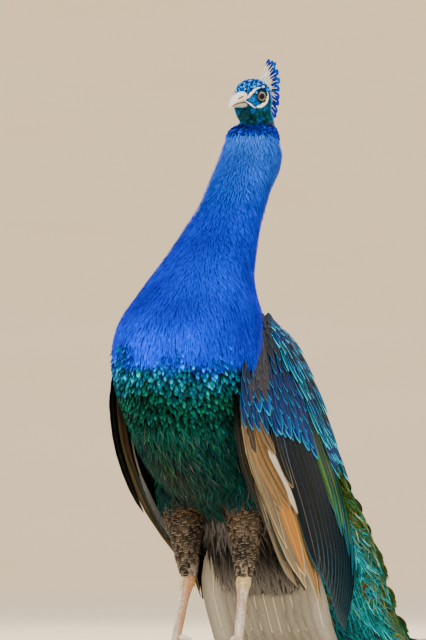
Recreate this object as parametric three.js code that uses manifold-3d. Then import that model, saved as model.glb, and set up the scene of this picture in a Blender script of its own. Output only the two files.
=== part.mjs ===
// An Indian peacock of the dark-shouldered kind, standing with its neck drawn up and its train
// trailing on the floor. Millimetres, +Z up. The bird faces -Y and its left side is +X. The origin
// is the middle of its bounding box, at the floor.
import * as THREE from "three";
import { mergeVertices } from "three/addons/utils/BufferGeometryUtils.js";
import Module from "manifold-3d";

const wasm = await Module();
wasm.setup();

const GAP = 0.4; // clear space left between neighbouring pieces
const SWELL = 0.8; // how far a piece is swollen before it is cut out of its neighbour
const LEFT = 1;
const RIGHT = -1;
const SIDES = { left: LEFT, right: RIGHT };
const degrees = THREE.MathUtils.degToRad;

// ---------- finishes ----------

function finish(color, roughness, metalness = 0) {
  return new THREE.MeshStandardMaterial({ color, roughness, metalness });
}

const finishes = {
  blue: finish("#1450c8", 0.45, 0.3),
  green: finish("#0e5f4a", 0.5, 0.3),
  down: finish("#3a3028", 0.9),
  shin: finish("#6b5a44", 0.85),
  horn: finish("#d8cfc4", 0.5),
  scute: finish("#b9aa98", 0.6),
  eye: finish("#6a4a2c", 0.1),
  covert: finish("#123a6a", 0.4, 0.3),
  black: finish("#1b1b20", 0.5),
  tan: finish("#b98a58", 0.7),
  beige: finish("#b5a88f", 0.7),
  bronze: finish("#3f6a3a", 0.45, 0.3),
  train: finish("#1f7f6a", 0.45, 0.3),
};

// ---------- shared shape functions ----------

// Reads one column of a table whose first column is the position, as a smooth curve through its rows.
function column(rows, index) {
  const slope = (i) => {
    const before = rows[Math.max(i - 1, 0)];
    const after = rows[Math.min(i + 1, rows.length - 1)];
    return (after[index] - before[index]) / (after[0] - before[0]);
  };
  return (position) => {
    const falling = rows[0][0] > rows.at(-1)[0];
    let i = rows.findIndex((row) => (falling ? row[0] <= position : row[0] >= position));
    i = Math.min(Math.max(i, 1), rows.length - 1);
    const [a, b] = [rows[i - 1], rows[i]];
    const span = b[0] - a[0];
    const t = THREE.MathUtils.clamp((position - a[0]) / span, 0, 1);
    const [t2, t3] = [t * t, t * t * t];
    const start = (2 * t3 - 3 * t2 + 1) * a[index] + (t3 - 2 * t2 + t) * span * slope(i - 1);
    const end = (3 * t2 - 2 * t3) * b[index] + (t3 - t2) * span * slope(i);
    return start + end;
  };
}

function between(count, low, high) {
  return Array.from({ length: count }, (_, i) => low + ((high - low) * i) / (count - 1));
}

function indexed(points, faces) {
  const geometry = new THREE.BufferGeometry();
  const flat = points.flatMap((p) => [p.x, p.y, p.z]);
  geometry.setAttribute("position", new THREE.Float32BufferAttribute(flat, 3));
  geometry.setIndex(faces);
  return geometry;
}

// Joins closed rings of equal, even length into a tube. Each end is closed like a ladder, from one half of
// its ring to the other, so that thin arched slots close as well as round ones.
function loft(rings) {
  const size = rings[0].length;
  const points = rings.flat();
  const faces = [];
  for (let r = 0; r + 1 < rings.length; r++) {
    for (let i = 0; i < size; i++) {
      const [a, b] = [r * size + i, r * size + ((i + 1) % size)];
      faces.push(a, b, b + size, a, b + size, a + size);
    }
  }
  const last = (rings.length - 1) * size;
  for (let i = 0; i + 1 < size / 2; i++) {
    const [a, b, c, d] = [i, i + 1, size - 2 - i, size - 1 - i];
    faces.push(a, c, b, a, d, c);
    faces.push(last + a, last + b, last + c, last + a, last + c, last + d);
  }
  return indexed(points, faces);
}

function closed(geometry) {
  const vertProperties = geometry.attributes.position.array;
  return new wasm.Manifold(
    new wasm.Mesh({ numProp: 3, vertProperties, triVerts: new Uint32Array(geometry.index.array) }),
  );
}

// Moves each corner out along the mean of its faces, each weighed by its angle there, so thin edges grow too.
function grow(geometry, amount) {
  const { position } = geometry.attributes;
  const corners = between(position.count, 0, position.count - 1).map((i) =>
    new THREE.Vector3().fromBufferAttribute(position, i),
  );
  const pushes = corners.map(() => new THREE.Vector3());
  const order = geometry.index.array;
  for (let f = 0; f < order.length; f += 3) {
    for (let k = 0; k < 3; k++) {
      const [here, next, last] = [0, 1, 2].map((step) => order[f + ((k + step) % 3)]);
      const ahead = corners[next].clone().sub(corners[here]);
      const aback = corners[last].clone().sub(corners[here]);
      pushes[here].addScaledVector(ahead.clone().cross(aback).normalize(), ahead.angleTo(aback));
    }
  }
  corners.forEach((corner, i) => {
    const moved = corner.addScaledVector(pushes[i].normalize(), amount);
    position.setXYZ(i, moved.x, moved.y, moved.z);
  });
}

// A solid from a closed surface, faces outwards. A swollen one is a cutter that leaves a gap.
function solid(geometry, matrix = new THREE.Matrix4(), swell = 0) {
  const plain = geometry.clone().applyMatrix4(matrix);
  plain.deleteAttribute("normal");
  plain.deleteAttribute("uv");
  const merged = mergeVertices(plain, 1e-3);
  if (closed(merged).volume() < 0) merged.index.array.reverse();
  if (swell > 0) grow(merged, swell);
  return closed(merged);
}

// The largest body of a solid: a cut can leave crumbs beside it.
function largest(cut) {
  return cut.decompose().sort((a, b) => b.volume() - a.volume())[0];
}

const bird = new THREE.Group();

function place(name, made, material) {
  const { numProp, numVert, vertProperties, triVerts } = largest(made).getMesh();
  const points = Array.from({ length: numVert }, (_, i) =>
    new THREE.Vector3().fromArray(vertProperties, i * numProp),
  );
  const mesh = new THREE.Mesh(indexed(points, Array.from(triVerts)), material);
  mesh.geometry.computeVertexNormals();
  mesh.name = name;
  bird.add(mesh);
}

// A big block whose lower face passes through a point, square to a direction: the half space on that side.
function halfSpace(point, direction) {
  const size = 3000;
  const block = new THREE.BoxGeometry(size, size, size);
  const turn = new THREE.Quaternion().setFromUnitVectors(
    new THREE.Vector3(0, 0, 1),
    direction.clone().normalize(),
  );
  const middle = point.clone().addScaledVector(direction.clone().normalize(), size / 2);
  return solid(block, new THREE.Matrix4().compose(middle, turn, new THREE.Vector3(1, 1, 1)));
}

// Parts a solid at a plane, leaving GAP between what is ahead of it and what is behind it.
function part(whole, point, direction) {
  const away = direction.clone().normalize();
  const ahead = halfSpace(point.clone().addScaledVector(away, GAP / 2), away);
  const behind = halfSpace(point.clone().addScaledVector(away, -GAP / 2), away.clone().negate());
  return [whole.intersect(ahead), whole.intersect(behind)];
}

// ---------- neck and trunk: level slices from under the head to the vent ----------

// Each row is a level slice: height, middle sideways, front, back, half width.
const BODY = [
  [814, 35, 84, 116, 16],
  [797, 35, 80, 125, 22],
  [783, 35, 77, 128, 25.5],
  [777, 35, 65, 126, 30],
  [771, 35, 56, 126, 34.5],
  [763, 35, 50, 128, 38],
  [751, 35, 45, 129, 41.5],
  [737, 35, 38, 133, 45],
  [713, 34, 22, 125, 47],
  [685, 31, 3, 107, 46],
  [656, 28, -14, 92, 48],
  [625, 23, -36, 77, 54],
  [592, 18, -60, 67, 62],
  [556, 12, -92, 62, 72],
  [523, 8, -120, 70, 85],
  [497, 4, -142, 92, 96],
  [470, 1, -157, 122, 103],
  [440, 0, -163, 148, 106],
  [400, 0, -159, 178, 105],
  [360, 0, -143, 206, 100],
  [320, 0, -116, 232, 94],
  [285, 0, -80, 250, 86],
  [258, 0, -36, 260, 76],
  [235, 0, 18, 262, 63],
  [215, 0, 72, 252, 49],
  [201, 0, 122, 232, 33],
  [194, 0, 158, 208, 17],
];
const BODY_SIDES = 22;
const WIDEST_FROM_FRONT = 0.42; // share of a slice's depth that lies ahead of its widest place

function bodyRing([height, middle, front, back, half]) {
  const widest = front + WIDEST_FROM_FRONT * (back - front);
  return Array.from({ length: BODY_SIDES }, (_, i) => {
    const angle = (2 * Math.PI * i) / BODY_SIDES;
    const reach = Math.sin(angle) < 0 ? widest - front : back - widest;
    return new THREE.Vector3(
      middle + half * Math.cos(angle),
      widest + reach * Math.sin(angle),
      height,
    );
  });
}

const bodySurface = loft(BODY.map(bodyRing));
const bodySolid = solid(bodySurface);
const bodyCutter = solid(bodySurface, new THREE.Matrix4(), SWELL);

// ---------- head, bill, eyes and crest, in the head's own frame ----------

const HEAD_AT = new THREE.Vector3(34, 90, 818);
const HEAD_TURN = degrees(-4); // towards the bird's right
const HEAD_NOD = degrees(12); // bill down
const EYE = { radius: 7.6, out: 17.2, ahead: 9.5, up: 2.2 };

const headFrame = new THREE.Matrix4()
  .makeTranslation(HEAD_AT)
  .multiply(new THREE.Matrix4().makeRotationZ(HEAD_TURN))
  .multiply(new THREE.Matrix4().makeRotationX(HEAD_NOD));

// Each row is a section square to the head: how far back, half width, underside, top.
const SKULL = [
  [29, 8, -12, 8],
  [24, 16, -20, 17],
  [14, 22, -30, 24],
  [3, 24.6, -34, 27.5],
  [-8, 24, -36, 27.5],
  [-17, 21.5, -38, 26],
  [-25, 18.5, -36, 21.5],
  [-31, 13.5, -29, 14],
];
const UPPER_BILL = [
  [-24, 9, -2.6, 12.8],
  [-32, 9, -2.4, 12.4],
  [-41, 8.2, -2.4, 11],
  [-50, 6.8, -2.8, 8],
  [-58, 4.8, -3.8, 3.4],
  [-64, 2.7, -5.6, -1.4],
  [-68, 1, -8.6, -6],
];
const LOWER_BILL = [
  [-24, 8.4, -10.4, -3.2],
  [-33, 8, -10.8, -3],
  [-43, 6.6, -9.8, -3],
  [-53, 4.4, -8.2, -3.6],
  [-60, 2, -7.2, -5],
];

function sections(rows, sides, squareness) {
  return rows.map(([along, half, low, high]) =>
    Array.from({ length: sides }, (_, i) => {
      const angle = (2 * Math.PI * i) / sides;
      const round = (v) => Math.sign(v) * Math.abs(v) ** squareness;
      return new THREE.Vector3(
        half * round(Math.cos(angle)),
        along,
        (high + low) / 2 + ((high - low) / 2) * round(Math.sin(angle)),
      );
    }),
  );
}

const skullSurface = loft(sections(SKULL, 14, 0.9));
const skullCutter = solid(skullSurface, headFrame, SWELL);

function eyeball(side, swell = 0) {
  const ball = new THREE.IcosahedronGeometry(EYE.radius, 1);
  const seat = new THREE.Matrix4().makeTranslation(side * EYE.out, -EYE.ahead, EYE.up);
  return solid(ball, headFrame.clone().multiply(seat), swell);
}

function makeHead(neckTop) {
  let head = solid(skullSurface, headFrame).add(neckTop);
  for (const side of [LEFT, RIGHT]) head = head.subtract(eyeball(side, SWELL));
  place("head", head, finishes.blue);
  const bill = (rows) => {
    const whole = solid(loft(sections(rows, 10, 0.85)), headFrame);
    return whole.subtract(skullCutter).subtract(bodyCutter);
  };
  place("bill_upper", bill(UPPER_BILL), finishes.horn);
  place("bill_lower", bill(LOWER_BILL), finishes.horn);
  for (const [name, side] of Object.entries(SIDES)) place(`eye_${name}`, eyeball(side), finishes.eye);
}

// The crest is a fan of bare shafts that end in small blades, in the head's middle plane.
const CREST = {
  feathers: 13,
  highest: 48,
  lowest: -62,
  longest: 56,
  shortest: 46,
  back: 23,
  up: 14,
  down: 20,
};

function crestFeather(i) {
  const share = i / (CREST.feathers - 1);
  const angle = degrees(THREE.MathUtils.lerp(CREST.highest, CREST.lowest, share));
  const length = THREE.MathUtils.lerp(CREST.longest, CREST.shortest, share);
  const splay = ((i % 3) - 1) * 2.2;
  const root = new THREE.Vector3(0, CREST.back, CREST.up - CREST.down * share);
  const out = new THREE.Vector3(0, Math.cos(angle), Math.sin(angle));
  const across = new THREE.Vector3(0, -Math.sin(angle), Math.cos(angle));
  const rows = [[0, 1.6], [length * 0.72, 1.1], [length * 0.8, 3], [length * 0.92, 4], [length, 1.2]];
  const rings = rows.map(([reach, half]) =>
    [[1, -1], [1, 1], [-1, 1], [-1, -1]].map(([a, b]) =>
      root
        .clone()
        .addScaledVector(out, reach)
        .addScaledVector(across, a * half)
        .add(new THREE.Vector3(b * 0.7 + (splay * reach) / length, 0, 0)),
    ),
  );
  return solid(loft(rings), headFrame);
}

function makeCrest() {
  const fan = between(CREST.feathers, 0, CREST.feathers - 1).reduce(
    (sum, i) => (sum ? sum.add(crestFeather(i)) : crestFeather(i)),
    null,
  );
  place("crest", fan.subtract(skullCutter).subtract(bodyCutter), finishes.blue);
}

// ---------- wings: folded and drooping, in layers that overlap like slates ----------

// Edges of each folded wing, from the shoulder to the tips, outward first: the lower one lies in front, the
// upper one behind. The right wing hangs a little further out and forward than the left.
const curve = (rows) => new THREE.CatmullRomCurve3(rows.map((row) => new THREE.Vector3(...row)));
const WINGS = {
  [LEFT]: {
    front: curve([
      [78, 8, 506],
      [89, -35, 459],
      [97, -60, 391],
      [99, -46, 305],
      [98, 3, 243],
      [94, 75, 163],
      [91, 131, 120],
    ]),
    back: curve([
      [46, 80, 497],
      [61, 142, 477],
      [72, 196, 413],
      [78, 256, 321],
      [82, 300, 240],
      [83, 313, 162],
      [80, 281, 52],
    ]),
  },
  [RIGHT]: {
    front: curve([
      [80, 4, 500],
      [90, -48, 462],
      [99, -80, 405],
      [108, -56, 329],
      [110, 0, 252],
      [109, 60, 200],
      [103, 125, 155],
    ]),
    back: curve([
      [50, 92, 507],
      [68, 136, 470],
      [82, 184, 400],
      [92, 238, 312],
      [98, 280, 230],
      [100, 294, 152],
      [96, 262, 46],
    ]),
  },
};
const WING_BULGE = 20; // how far the folded wing bows out between its two edges

function wingPoint(side, along, across) {
  const { front, back } = WINGS[side];
  const point = front.getPoint(along).lerp(back.getPoint(along), across);
  const bow = Math.sin(Math.PI * THREE.MathUtils.clamp(across, 0, 1)) * (1 - 0.55 * along);
  return point.add(new THREE.Vector3(WING_BULGE * bow, 0, 0));
}

// A layer of overlapping feathers: a thin shell between two edges, with one rounded tip to each feather.
function featherLayer(side, { from, to, low, high, feathers, tip, depth, thick, rows = 5 }) {
  const columns = feathers * 2 + 1;
  const point = (r, c, out) => {
    const share = c / (columns - 1);
    const across = THREE.MathUtils.lerp(low, high, share);
    const end = to(share) - (c % 2 ? 0 : tip);
    const along = THREE.MathUtils.lerp(from(share), end, r / rows);
    const taper = 1 - 0.75 * (r / rows) ** 2;
    const reach = out > 0 ? depth : depth - thick * taper;
    return wingPoint(side, along, across).add(new THREE.Vector3(reach, 0, 0));
  };
  const rings = Array.from({ length: rows + 1 }, (_, r) => {
    const outer = Array.from({ length: columns }, (_, c) => point(r, c, 1));
    const inner = Array.from({ length: columns }, (_, c) => point(r, c, -1)).reverse();
    return [...outer, ...inner];
  });
  return loft(rings);
}

const fixed = (value) => () => value;
const WING_LAYERS = [
  {
    name: "coverts",
    material: finishes.covert,
    shape: {
      from: fixed(0),
      to: (s) => 0.4 + 0.16 * s,
      low: 0,
      high: 1,
      feathers: 5,
      tip: 0.025,
      depth: 5,
      thick: 12,
    },
  },
  {
    name: "secondaries",
    material: finishes.black,
    shape: {
      from: fixed(0.3),
      to: (s) => 0.86 + 0.13 * Math.sin(Math.min(s * 1.5, 1) * 1.57),
      low: 0.3,
      high: 1,
      feathers: 6,
      tip: 0.02,
      depth: 1,
      thick: 8,
    },
  },
  {
    name: "primaries",
    material: finishes.tan,
    shape: {
      from: fixed(0.24),
      to: (s) => 0.99 - 0.1 * s,
      low: 0,
      high: 0.5,
      feathers: 4,
      tip: 0.03,
      depth: -5,
      thick: 7,
    },
  },
];

function wingSolid(layer, side, swell = 0) {
  return solid(featherLayer(side, layer.shape), new THREE.Matrix4().makeScale(side, 1, 1), swell);
}

function makeWings() {
  for (const [name, side] of Object.entries(SIDES)) {
    WING_LAYERS.forEach((layer, i) => {
      let made = wingSolid(layer, side).subtract(bodyCutter);
      for (const outer of WING_LAYERS.slice(0, i)) made = made.subtract(wingSolid(outer, side, SWELL));
      place(`wing_${name}_${layer.name}`, made, layer.material);
    });
  }
}

// ---------- legs, feet, claws and spurs ----------

const HIP = { out: 53, back: 34, up: 282 };
const HEEL = { out: 44, back: 41, up: 138 };
const STEP = { left: 12, right: -6 }; // how far back each foot stands
const FOOT_OUT = 47;
const FLOOR_PAD = 8.5; // radius of the pad under the toes

// Each row is a section of the feathered shin: share of the way down, half width, half depth.
const SHIN = [
  [0, 34, 42],
  [0.28, 31, 38],
  [0.52, 24.5, 28],
  [0.75, 18.5, 20.5],
  [0.92, 14.5, 15.5],
  [1, 11.5, 12],
];
// Each row is a section of the bare shank: share of the way down, half width, half depth.
const SHANK = [
  [0, 8.2, 9.4],
  [0.08, 9.4, 10.6],
  [0.2, 7.6, 9],
  [0.5, 6.2, 7.6],
  [0.8, 6.4, 7.8],
  [0.94, 8, 9],
  [1, 7.4, 8.4],
];
const TOES = [
  { name: "middle", turn: 0, length: 68, radius: 6.4 },
  { name: "inner", turn: 34, length: 47, radius: 5.6 },
  { name: "outer", turn: -33, length: 50, radius: 5.4 },
  { name: "hind", turn: 168, length: 22, radius: 4.2 },
];
const CLAW = { length: 13, radius: 3.4 };
const SPUR = { up: 54, length: 23, radius: 5 };
const SHANK_FOOT = 14; // height at which the shank meets the foot

function limb(rows, top, bottom, sides, swell = 0) {
  const rings = rows.map(([share, half, depth]) => {
    const middle = top.clone().lerp(bottom, share);
    return Array.from({ length: sides }, (_, i) => {
      const angle = (2 * Math.PI * i) / sides;
      return middle.clone().add(new THREE.Vector3(half * Math.cos(angle), depth * Math.sin(angle), 0));
    });
  });
  return solid(loft(rings), new THREE.Matrix4(), swell);
}

// A toe lies on the floor: a row of pads along a straight line, each section flat underneath.
function toeSolid({ length, radius }, foot, turn, swell = 0) {
  const joints = 2;
  const steps = joints * 2 + 2;
  const sides = 6;
  const rings = between(steps, 0, 1).map((share, step) => {
    const swell = step % 2 ? 1.08 : 0.9;
    const size = radius * (1 - 0.35 * share) * swell;
    return Array.from({ length: sides }, (_, i) => {
      const angle = (2 * Math.PI * (i + 0.5)) / sides;
      const height = Math.max(size * 0.86 + size * Math.sin(angle), 0);
      return new THREE.Vector3(size * Math.cos(angle), -share * length, height);
    });
  });
  return solid(loft(rings), footFrame(foot, turn), swell);
}

function footFrame(foot, turn) {
  return new THREE.Matrix4().makeTranslation(foot).multiply(new THREE.Matrix4().makeRotationZ(turn));
}

function clawSolid({ length, radius }, foot, turn) {
  const size = CLAW.radius * (radius / TOES[0].radius) ** 0.5;
  const rows = [[0, 1, 4.6], [0.35, 0.85, 5.2], [0.7, 0.5, 3.6], [1, 0.14, 0.9]];
  const rings = rows.map(([share, scale, height]) =>
    Array.from({ length: 6 }, (_, i) => {
      const angle = (2 * Math.PI * i) / 6;
      const along = -(length + GAP + share * CLAW.length);
      const up = Math.max(height * (radius / TOES[0].radius) + size * scale * Math.sin(angle), 0.1);
      return new THREE.Vector3(size * scale * 0.8 * Math.cos(angle), along, up);
    }),
  );
  return solid(loft(rings), footFrame(foot, turn));
}

function shinSolid(side, swell = 0) {
  const hip = new THREE.Vector3(side * HIP.out, HIP.back, HIP.up);
  const heel = new THREE.Vector3(side * HEEL.out, HEEL.back, HEEL.up);
  return limb(SHIN, hip, heel, 12, swell);
}

function makeLegs() {
  for (const [name, side] of Object.entries(SIDES)) {
    const heel = new THREE.Vector3(side * HEEL.out, HEEL.back, HEEL.up);
    const foot = new THREE.Vector3(side * FOOT_OUT, STEP[name], 0);
    const ankle = foot.clone().setZ(SHANK_FOOT);
    place(`thigh_${name}`, shinSolid(side).subtract(bodyCutter), finishes.shin);

    const under = halfSpace(heel.clone().setZ(HEEL.up - GAP), new THREE.Vector3(0, 0, -1));
    const shank = limb(SHANK, heel.clone().setZ(HEEL.up + 2), ankle, 10).intersect(under);
    place(`shank_${name}`, shank, finishes.scute);

    const pad = new THREE.CylinderGeometry(FLOOR_PAD * 0.8, FLOOR_PAD, SHANK_FOOT - GAP, 10);
    const upright = footFrame(foot.clone().setZ((SHANK_FOOT - GAP) / 2), 0).multiply(
      new THREE.Matrix4().makeRotationX(Math.PI / 2),
    );
    place(`foot_${name}`, solid(pad, upright), finishes.scute);

    const spurRoot = ankle.clone().lerp(heel, (SPUR.up - SHANK_FOOT) / (HEEL.up - SHANK_FOOT));
    const spurOut = new THREE.Vector3(-side * 0.86, 0.5, 0);
    const spurAcross = new THREE.Vector3(0.5, side * 0.86, 0);
    const spurRings = [[0.2, 1], [0.5, 0.72], [0.8, 0.4], [1, 0.1]].map(([share, scale]) =>
      Array.from({ length: 8 }, (_, i) => {
        const angle = (2 * Math.PI * i) / 8;
        const size = SPUR.radius * scale;
        return spurRoot
          .clone()
          .addScaledVector(spurOut, share * SPUR.length)
          .addScaledVector(spurAcross, size * Math.cos(angle))
          .add(new THREE.Vector3(0, 0, size * Math.sin(angle) - 3 * share * share));
      }),
    );
    const shankCutter = limb(SHANK, heel, ankle, 10, SWELL);
    place(`spur_${name}`, solid(loft(spurRings)).subtract(shankCutter), finishes.horn);

    for (const toe of TOES) {
      const turn = degrees(-side * toe.turn);
      let made = toeSolid(toe, foot, turn).subtract(solid(pad, upright, SWELL));
      for (const other of TOES.slice(0, TOES.indexOf(toe))) {
        made = made.subtract(toeSolid(other, foot, degrees(-side * other.turn), SWELL));
      }
      place(`toe_${name}_${toe.name}`, made, finishes.scute);
      place(`claw_${name}_${toe.name}`, clawSolid(toe, foot, turn), finishes.horn);
    }
  }
}

// ---------- tail, vent down and train ----------

// A path in the bird's middle plane, as pairs of distance back and height.
const path = (rows) => new THREE.CatmullRomCurve3(rows.map(([y, z]) => new THREE.Vector3(0, y, z)));

const TAIL = {
  path: path([[136, 258], [158, 214], [184, 150], [208, 92], [240, 44], [298, 20], [375, 12], [446, 9]]),
  width: column([[0, 36], [0.12, 56], [0.28, 92], [0.46, 96], [0.74, 102], [1, 96]], 1),
  feathers: 8,
  tip: 0.045,
  thick: 5,
};
const VENT = [
  // height, front, back, half width
  [238, 62, 206, 58],
  [212, 72, 212, 72],
  [184, 92, 208, 76],
  [158, 122, 204, 75],
  [134, 150, 202, 70],
  [118, 174, 204, 60],
];
const TRAIN = {
  path: path([
    [170, 416],
    [236, 362],
    [286, 300],
    [324, 232],
    [352, 164],
    [386, 104],
    [436, 64],
    [516, 44],
    [640, 38],
    [820, 36],
    [1000, 33],
    [1130, 26],
    [1200, 16],
  ]),
  width: column(
    [[0, 48], [0.1, 82], [0.2, 114], [0.32, 132], [0.45, 148], [0.65, 192], [0.82, 220], [1, 226]],
    1,
  ),
  arch: column([[0, 16], [0.15, 34], [0.35, 36], [0.6, 22], [1, 10]], 1),
  thick: column([[0, 20], [0.15, 34], [0.35, 38], [0.6, 34], [1, 12]], 1),
  sides: 10,
};
const TRAIN_PARTS = [
  { name: "train_saddle", from: 0, to: 0.17, steps: 4, material: finishes.bronze },
  { name: "train_upper", from: 0.17, to: 0.42, steps: 7, material: finishes.train },
  { name: "train_middle", from: 0.42, to: 0.7, steps: 4, material: finishes.train },
];
const TRAIN_END = { from: 0.7, steps: 4, lobes: 9, rounding: 0.16, tip: 0.03 };

function pathFrame(line, share) {
  const at = line.getPointAt(THREE.MathUtils.clamp(share, 0, 1));
  const along = line.getTangentAt(THREE.MathUtils.clamp(share, 0, 1));
  return { at, along, up: new THREE.Vector3(0, -along.z, along.y) };
}

// A point of the train: share of its length, place across it from -1 to 1, and whether it is
// on its top or its underside.
function trainPoint(share, across, top) {
  const { at, up } = pathFrame(TRAIN.path, share);
  const drop = TRAIN.arch(share) * Math.abs(across) ** 2.2;
  const edge = 1 - 0.8 * Math.abs(across) ** 3;
  const depth = top ? 0 : TRAIN.thick(share) * edge;
  const point = at.clone().addScaledVector(up, -drop - depth);
  point.x = TRAIN.width(share) * across;
  return point.setZ(Math.max(point.z, top ? 3 : 0));
}

function trainRing(shareAt, columns) {
  const places = between(columns, -1, 1);
  const top = places.map((v, c) => trainPoint(shareAt(v, c), v, true));
  const bottom = places.map((v, c) => trainPoint(shareAt(v, c), v, false)).reverse();
  return [...top, ...bottom];
}

function trainSolid({ from, to, steps }) {
  const small = GAP / 2 / TRAIN.path.getLength();
  const rings = between(steps + 1, from + small, to - small).map((share) =>
    trainRing(fixed(share), TRAIN.sides + 1),
  );
  return solid(loft(rings));
}

function trainEnd() {
  const { from, steps, lobes, rounding, tip } = TRAIN_END;
  const columns = lobes * 2 + 1;
  const start = from + GAP / 2 / TRAIN.path.getLength();
  const rings = between(steps + 1, 0, 1).map((step) =>
    trainRing((v, c) => {
      const end = 1 - rounding * v * v - (c % 2 ? 0 : tip);
      return THREE.MathUtils.lerp(start, end, step);
    }, columns),
  );
  return solid(loft(rings));
}

function tailSolid(swell = 0) {
  const columns = TAIL.feathers * 2 + 1;
  const steps = 7;
  const ring = (step, lower) =>
    between(columns, -1, 1).map((v, c) => {
      const end = 1 - 0.1 * v * v - (c % 2 ? 0 : TAIL.tip);
      const share = (step / steps) * end;
      const { at, up } = pathFrame(TAIL.path, share);
      const camber = 10 * v * v * (1 - share);
      const ridge = c % 2 ? 0.8 : -0.8;
      const depth = lower ? TAIL.thick : 0;
      const point = at.clone().addScaledVector(up, -camber + ridge - depth);
      point.x = TAIL.width(share) * v;
      return point.setZ(Math.max(point.z, lower ? 0 : 2));
    });
  const rings = Array.from({ length: steps + 1 }, (_, step) => [
    ...ring(step, false),
    ...ring(step, true).reverse(),
  ]);
  return solid(loft(rings), new THREE.Matrix4(), swell);
}

function makeTail() {
  const sides = Object.values(SIDES);
  const wings = sides.flatMap((side) => WING_LAYERS.map((layer) => wingSolid(layer, side, SWELL)));
  const tailCutter = tailSolid(SWELL);
  let tail = tailSolid().subtract(bodyCutter);
  for (const wing of wings) tail = tail.subtract(wing);
  place("tail", tail, finishes.beige);

  const rings = VENT.map(([height, front, back, half]) =>
    Array.from({ length: 14 }, (_, i) => {
      const angle = (2 * Math.PI * i) / 14;
      const middle = (front + back) / 2;
      const reach = (back - front) / 2;
      return new THREE.Vector3(half * Math.cos(angle), middle + reach * Math.sin(angle), height);
    }),
  );
  let vent = solid(loft(rings)).subtract(bodyCutter).subtract(tailCutter);
  const behindTail = halfSpace(new THREE.Vector3(0, 196, 150), new THREE.Vector3(0, 0.9, 0.42));
  vent = vent.subtract(behindTail);
  for (const side of sides) vent = vent.subtract(shinSolid(side, SWELL));
  place("vent_down", vent, finishes.down);

  for (const section of TRAIN_PARTS) {
    let made = trainSolid(section).subtract(bodyCutter).subtract(tailCutter);
    for (const wing of wings) made = made.subtract(wing);
    place(section.name, made, section.material);
  }
  place("train_end", trainEnd(), finishes.train);
}

// ---------- the whole bird ----------

function makeTrunk() {
  const jaw = new THREE.Vector3(35, 90, 776);
  const [aboveJaw, belowJaw] = part(bodySolid, jaw, new THREE.Vector3(0, -0.35, 1));
  const [upper, lower] = part(belowJaw, new THREE.Vector3(30, 38, 656), new THREE.Vector3(0, 0.45, 1));
  const [neck, trunk] = part(lower, new THREE.Vector3(0, -20, 516), new THREE.Vector3(0, 0.2, 1));
  const alongTrunk = new THREE.Vector3(0, 0.77, -0.64);
  const acrossTrunk = new THREE.Vector3(0, 0.64, 0.77);
  const [rear, breast] = part(trunk, new THREE.Vector3(0, -15, 400), alongTrunk);
  const [dorsal, belly] = part(rear, new THREE.Vector3(0, 95, 330), acrossTrunk);
  const [rump, back] = part(dorsal, new THREE.Vector3(0, 172, 330), alongTrunk);
  place("neck_upper", upper, finishes.blue);
  place("neck_lower", neck, finishes.blue);
  place("breast", breast, finishes.blue);
  place("belly", belly, finishes.green);
  place("back", back, finishes.bronze);
  place("rump", rump, finishes.bronze);
  return aboveJaw;
}

makeHead(makeTrunk());
makeCrest();
makeWings();
makeLegs();
makeTail();

// The bird is built with the origin between its feet, and then moved so that its bounding box is centred.
const middle = new THREE.Box3().setFromObject(bird).getCenter(new THREE.Vector3());
bird.position.set(-middle.x, -middle.y, 0);

export default bird;
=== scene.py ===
import math

import bmesh
import bpy
import numpy as np
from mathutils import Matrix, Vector
from mathutils.bvhtree import BVHTree


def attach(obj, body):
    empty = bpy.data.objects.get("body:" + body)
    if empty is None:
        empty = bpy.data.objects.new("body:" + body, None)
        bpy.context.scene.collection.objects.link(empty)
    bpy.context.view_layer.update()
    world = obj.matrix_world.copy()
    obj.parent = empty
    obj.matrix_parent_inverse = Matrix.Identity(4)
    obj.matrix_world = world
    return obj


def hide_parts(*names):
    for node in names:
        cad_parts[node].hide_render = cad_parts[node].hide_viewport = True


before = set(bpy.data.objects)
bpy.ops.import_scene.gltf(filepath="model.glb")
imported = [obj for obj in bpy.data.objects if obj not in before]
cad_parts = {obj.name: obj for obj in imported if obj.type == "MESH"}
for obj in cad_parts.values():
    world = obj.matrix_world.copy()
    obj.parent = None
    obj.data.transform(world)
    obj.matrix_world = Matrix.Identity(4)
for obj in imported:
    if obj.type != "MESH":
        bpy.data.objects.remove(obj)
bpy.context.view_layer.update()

random = np.random.default_rng(11)

# ---------------------------------------------------------------- camera
# A long lens 5 m away and low down, 28 degrees round to the bird's left. One pixel is 1.4 mm at the bird,
# and what it shows is 640 pixels tall.
TARGET = Vector((0.013, -0.51216, 0.497))
DISTANCE, AROUND, LENS_HEIGHT = 5, math.radians(28), 0.150
SENSOR, PICTURE_HEIGHT = 36, 640 * 0.0014
stand = Vector((TARGET.x + DISTANCE * math.sin(AROUND), TARGET.y - DISTANCE * math.cos(AROUND), LENS_HEIGHT))
camera_data = bpy.data.cameras.new("camera")
camera_data.sensor_width = SENSOR
camera_data.lens = SENSOR * (TARGET - stand).length / PICTURE_HEIGHT
camera_data.clip_end = 60
camera = bpy.data.objects.new("camera", camera_data)
camera.location = stand
camera.rotation_euler = (TARGET - stand).to_track_quat("-Z", "Y").to_euler()
bpy.context.scene.collection.objects.link(camera)
bpy.context.scene.camera = camera


# ---------------------------------------------------------------- floor and light
# A pale bowl of thick paper: a flat floor that curves up far behind the bird on every side, so that no edge
# shows. The bird stands loose on it, under four soft lamps and an even sky.
def colour(code):
    """A linear RGB triple from an sRGB hex code."""
    parts = [int(code[i : i + 2], 16) / 255 for i in (1, 3, 5)]
    return np.array([c / 12.92 if c <= 0.04045 else ((c + 0.055) / 1.055) ** 2.4 for c in parts])


def rgba(code):
    return (*colour(code), 1)


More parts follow.
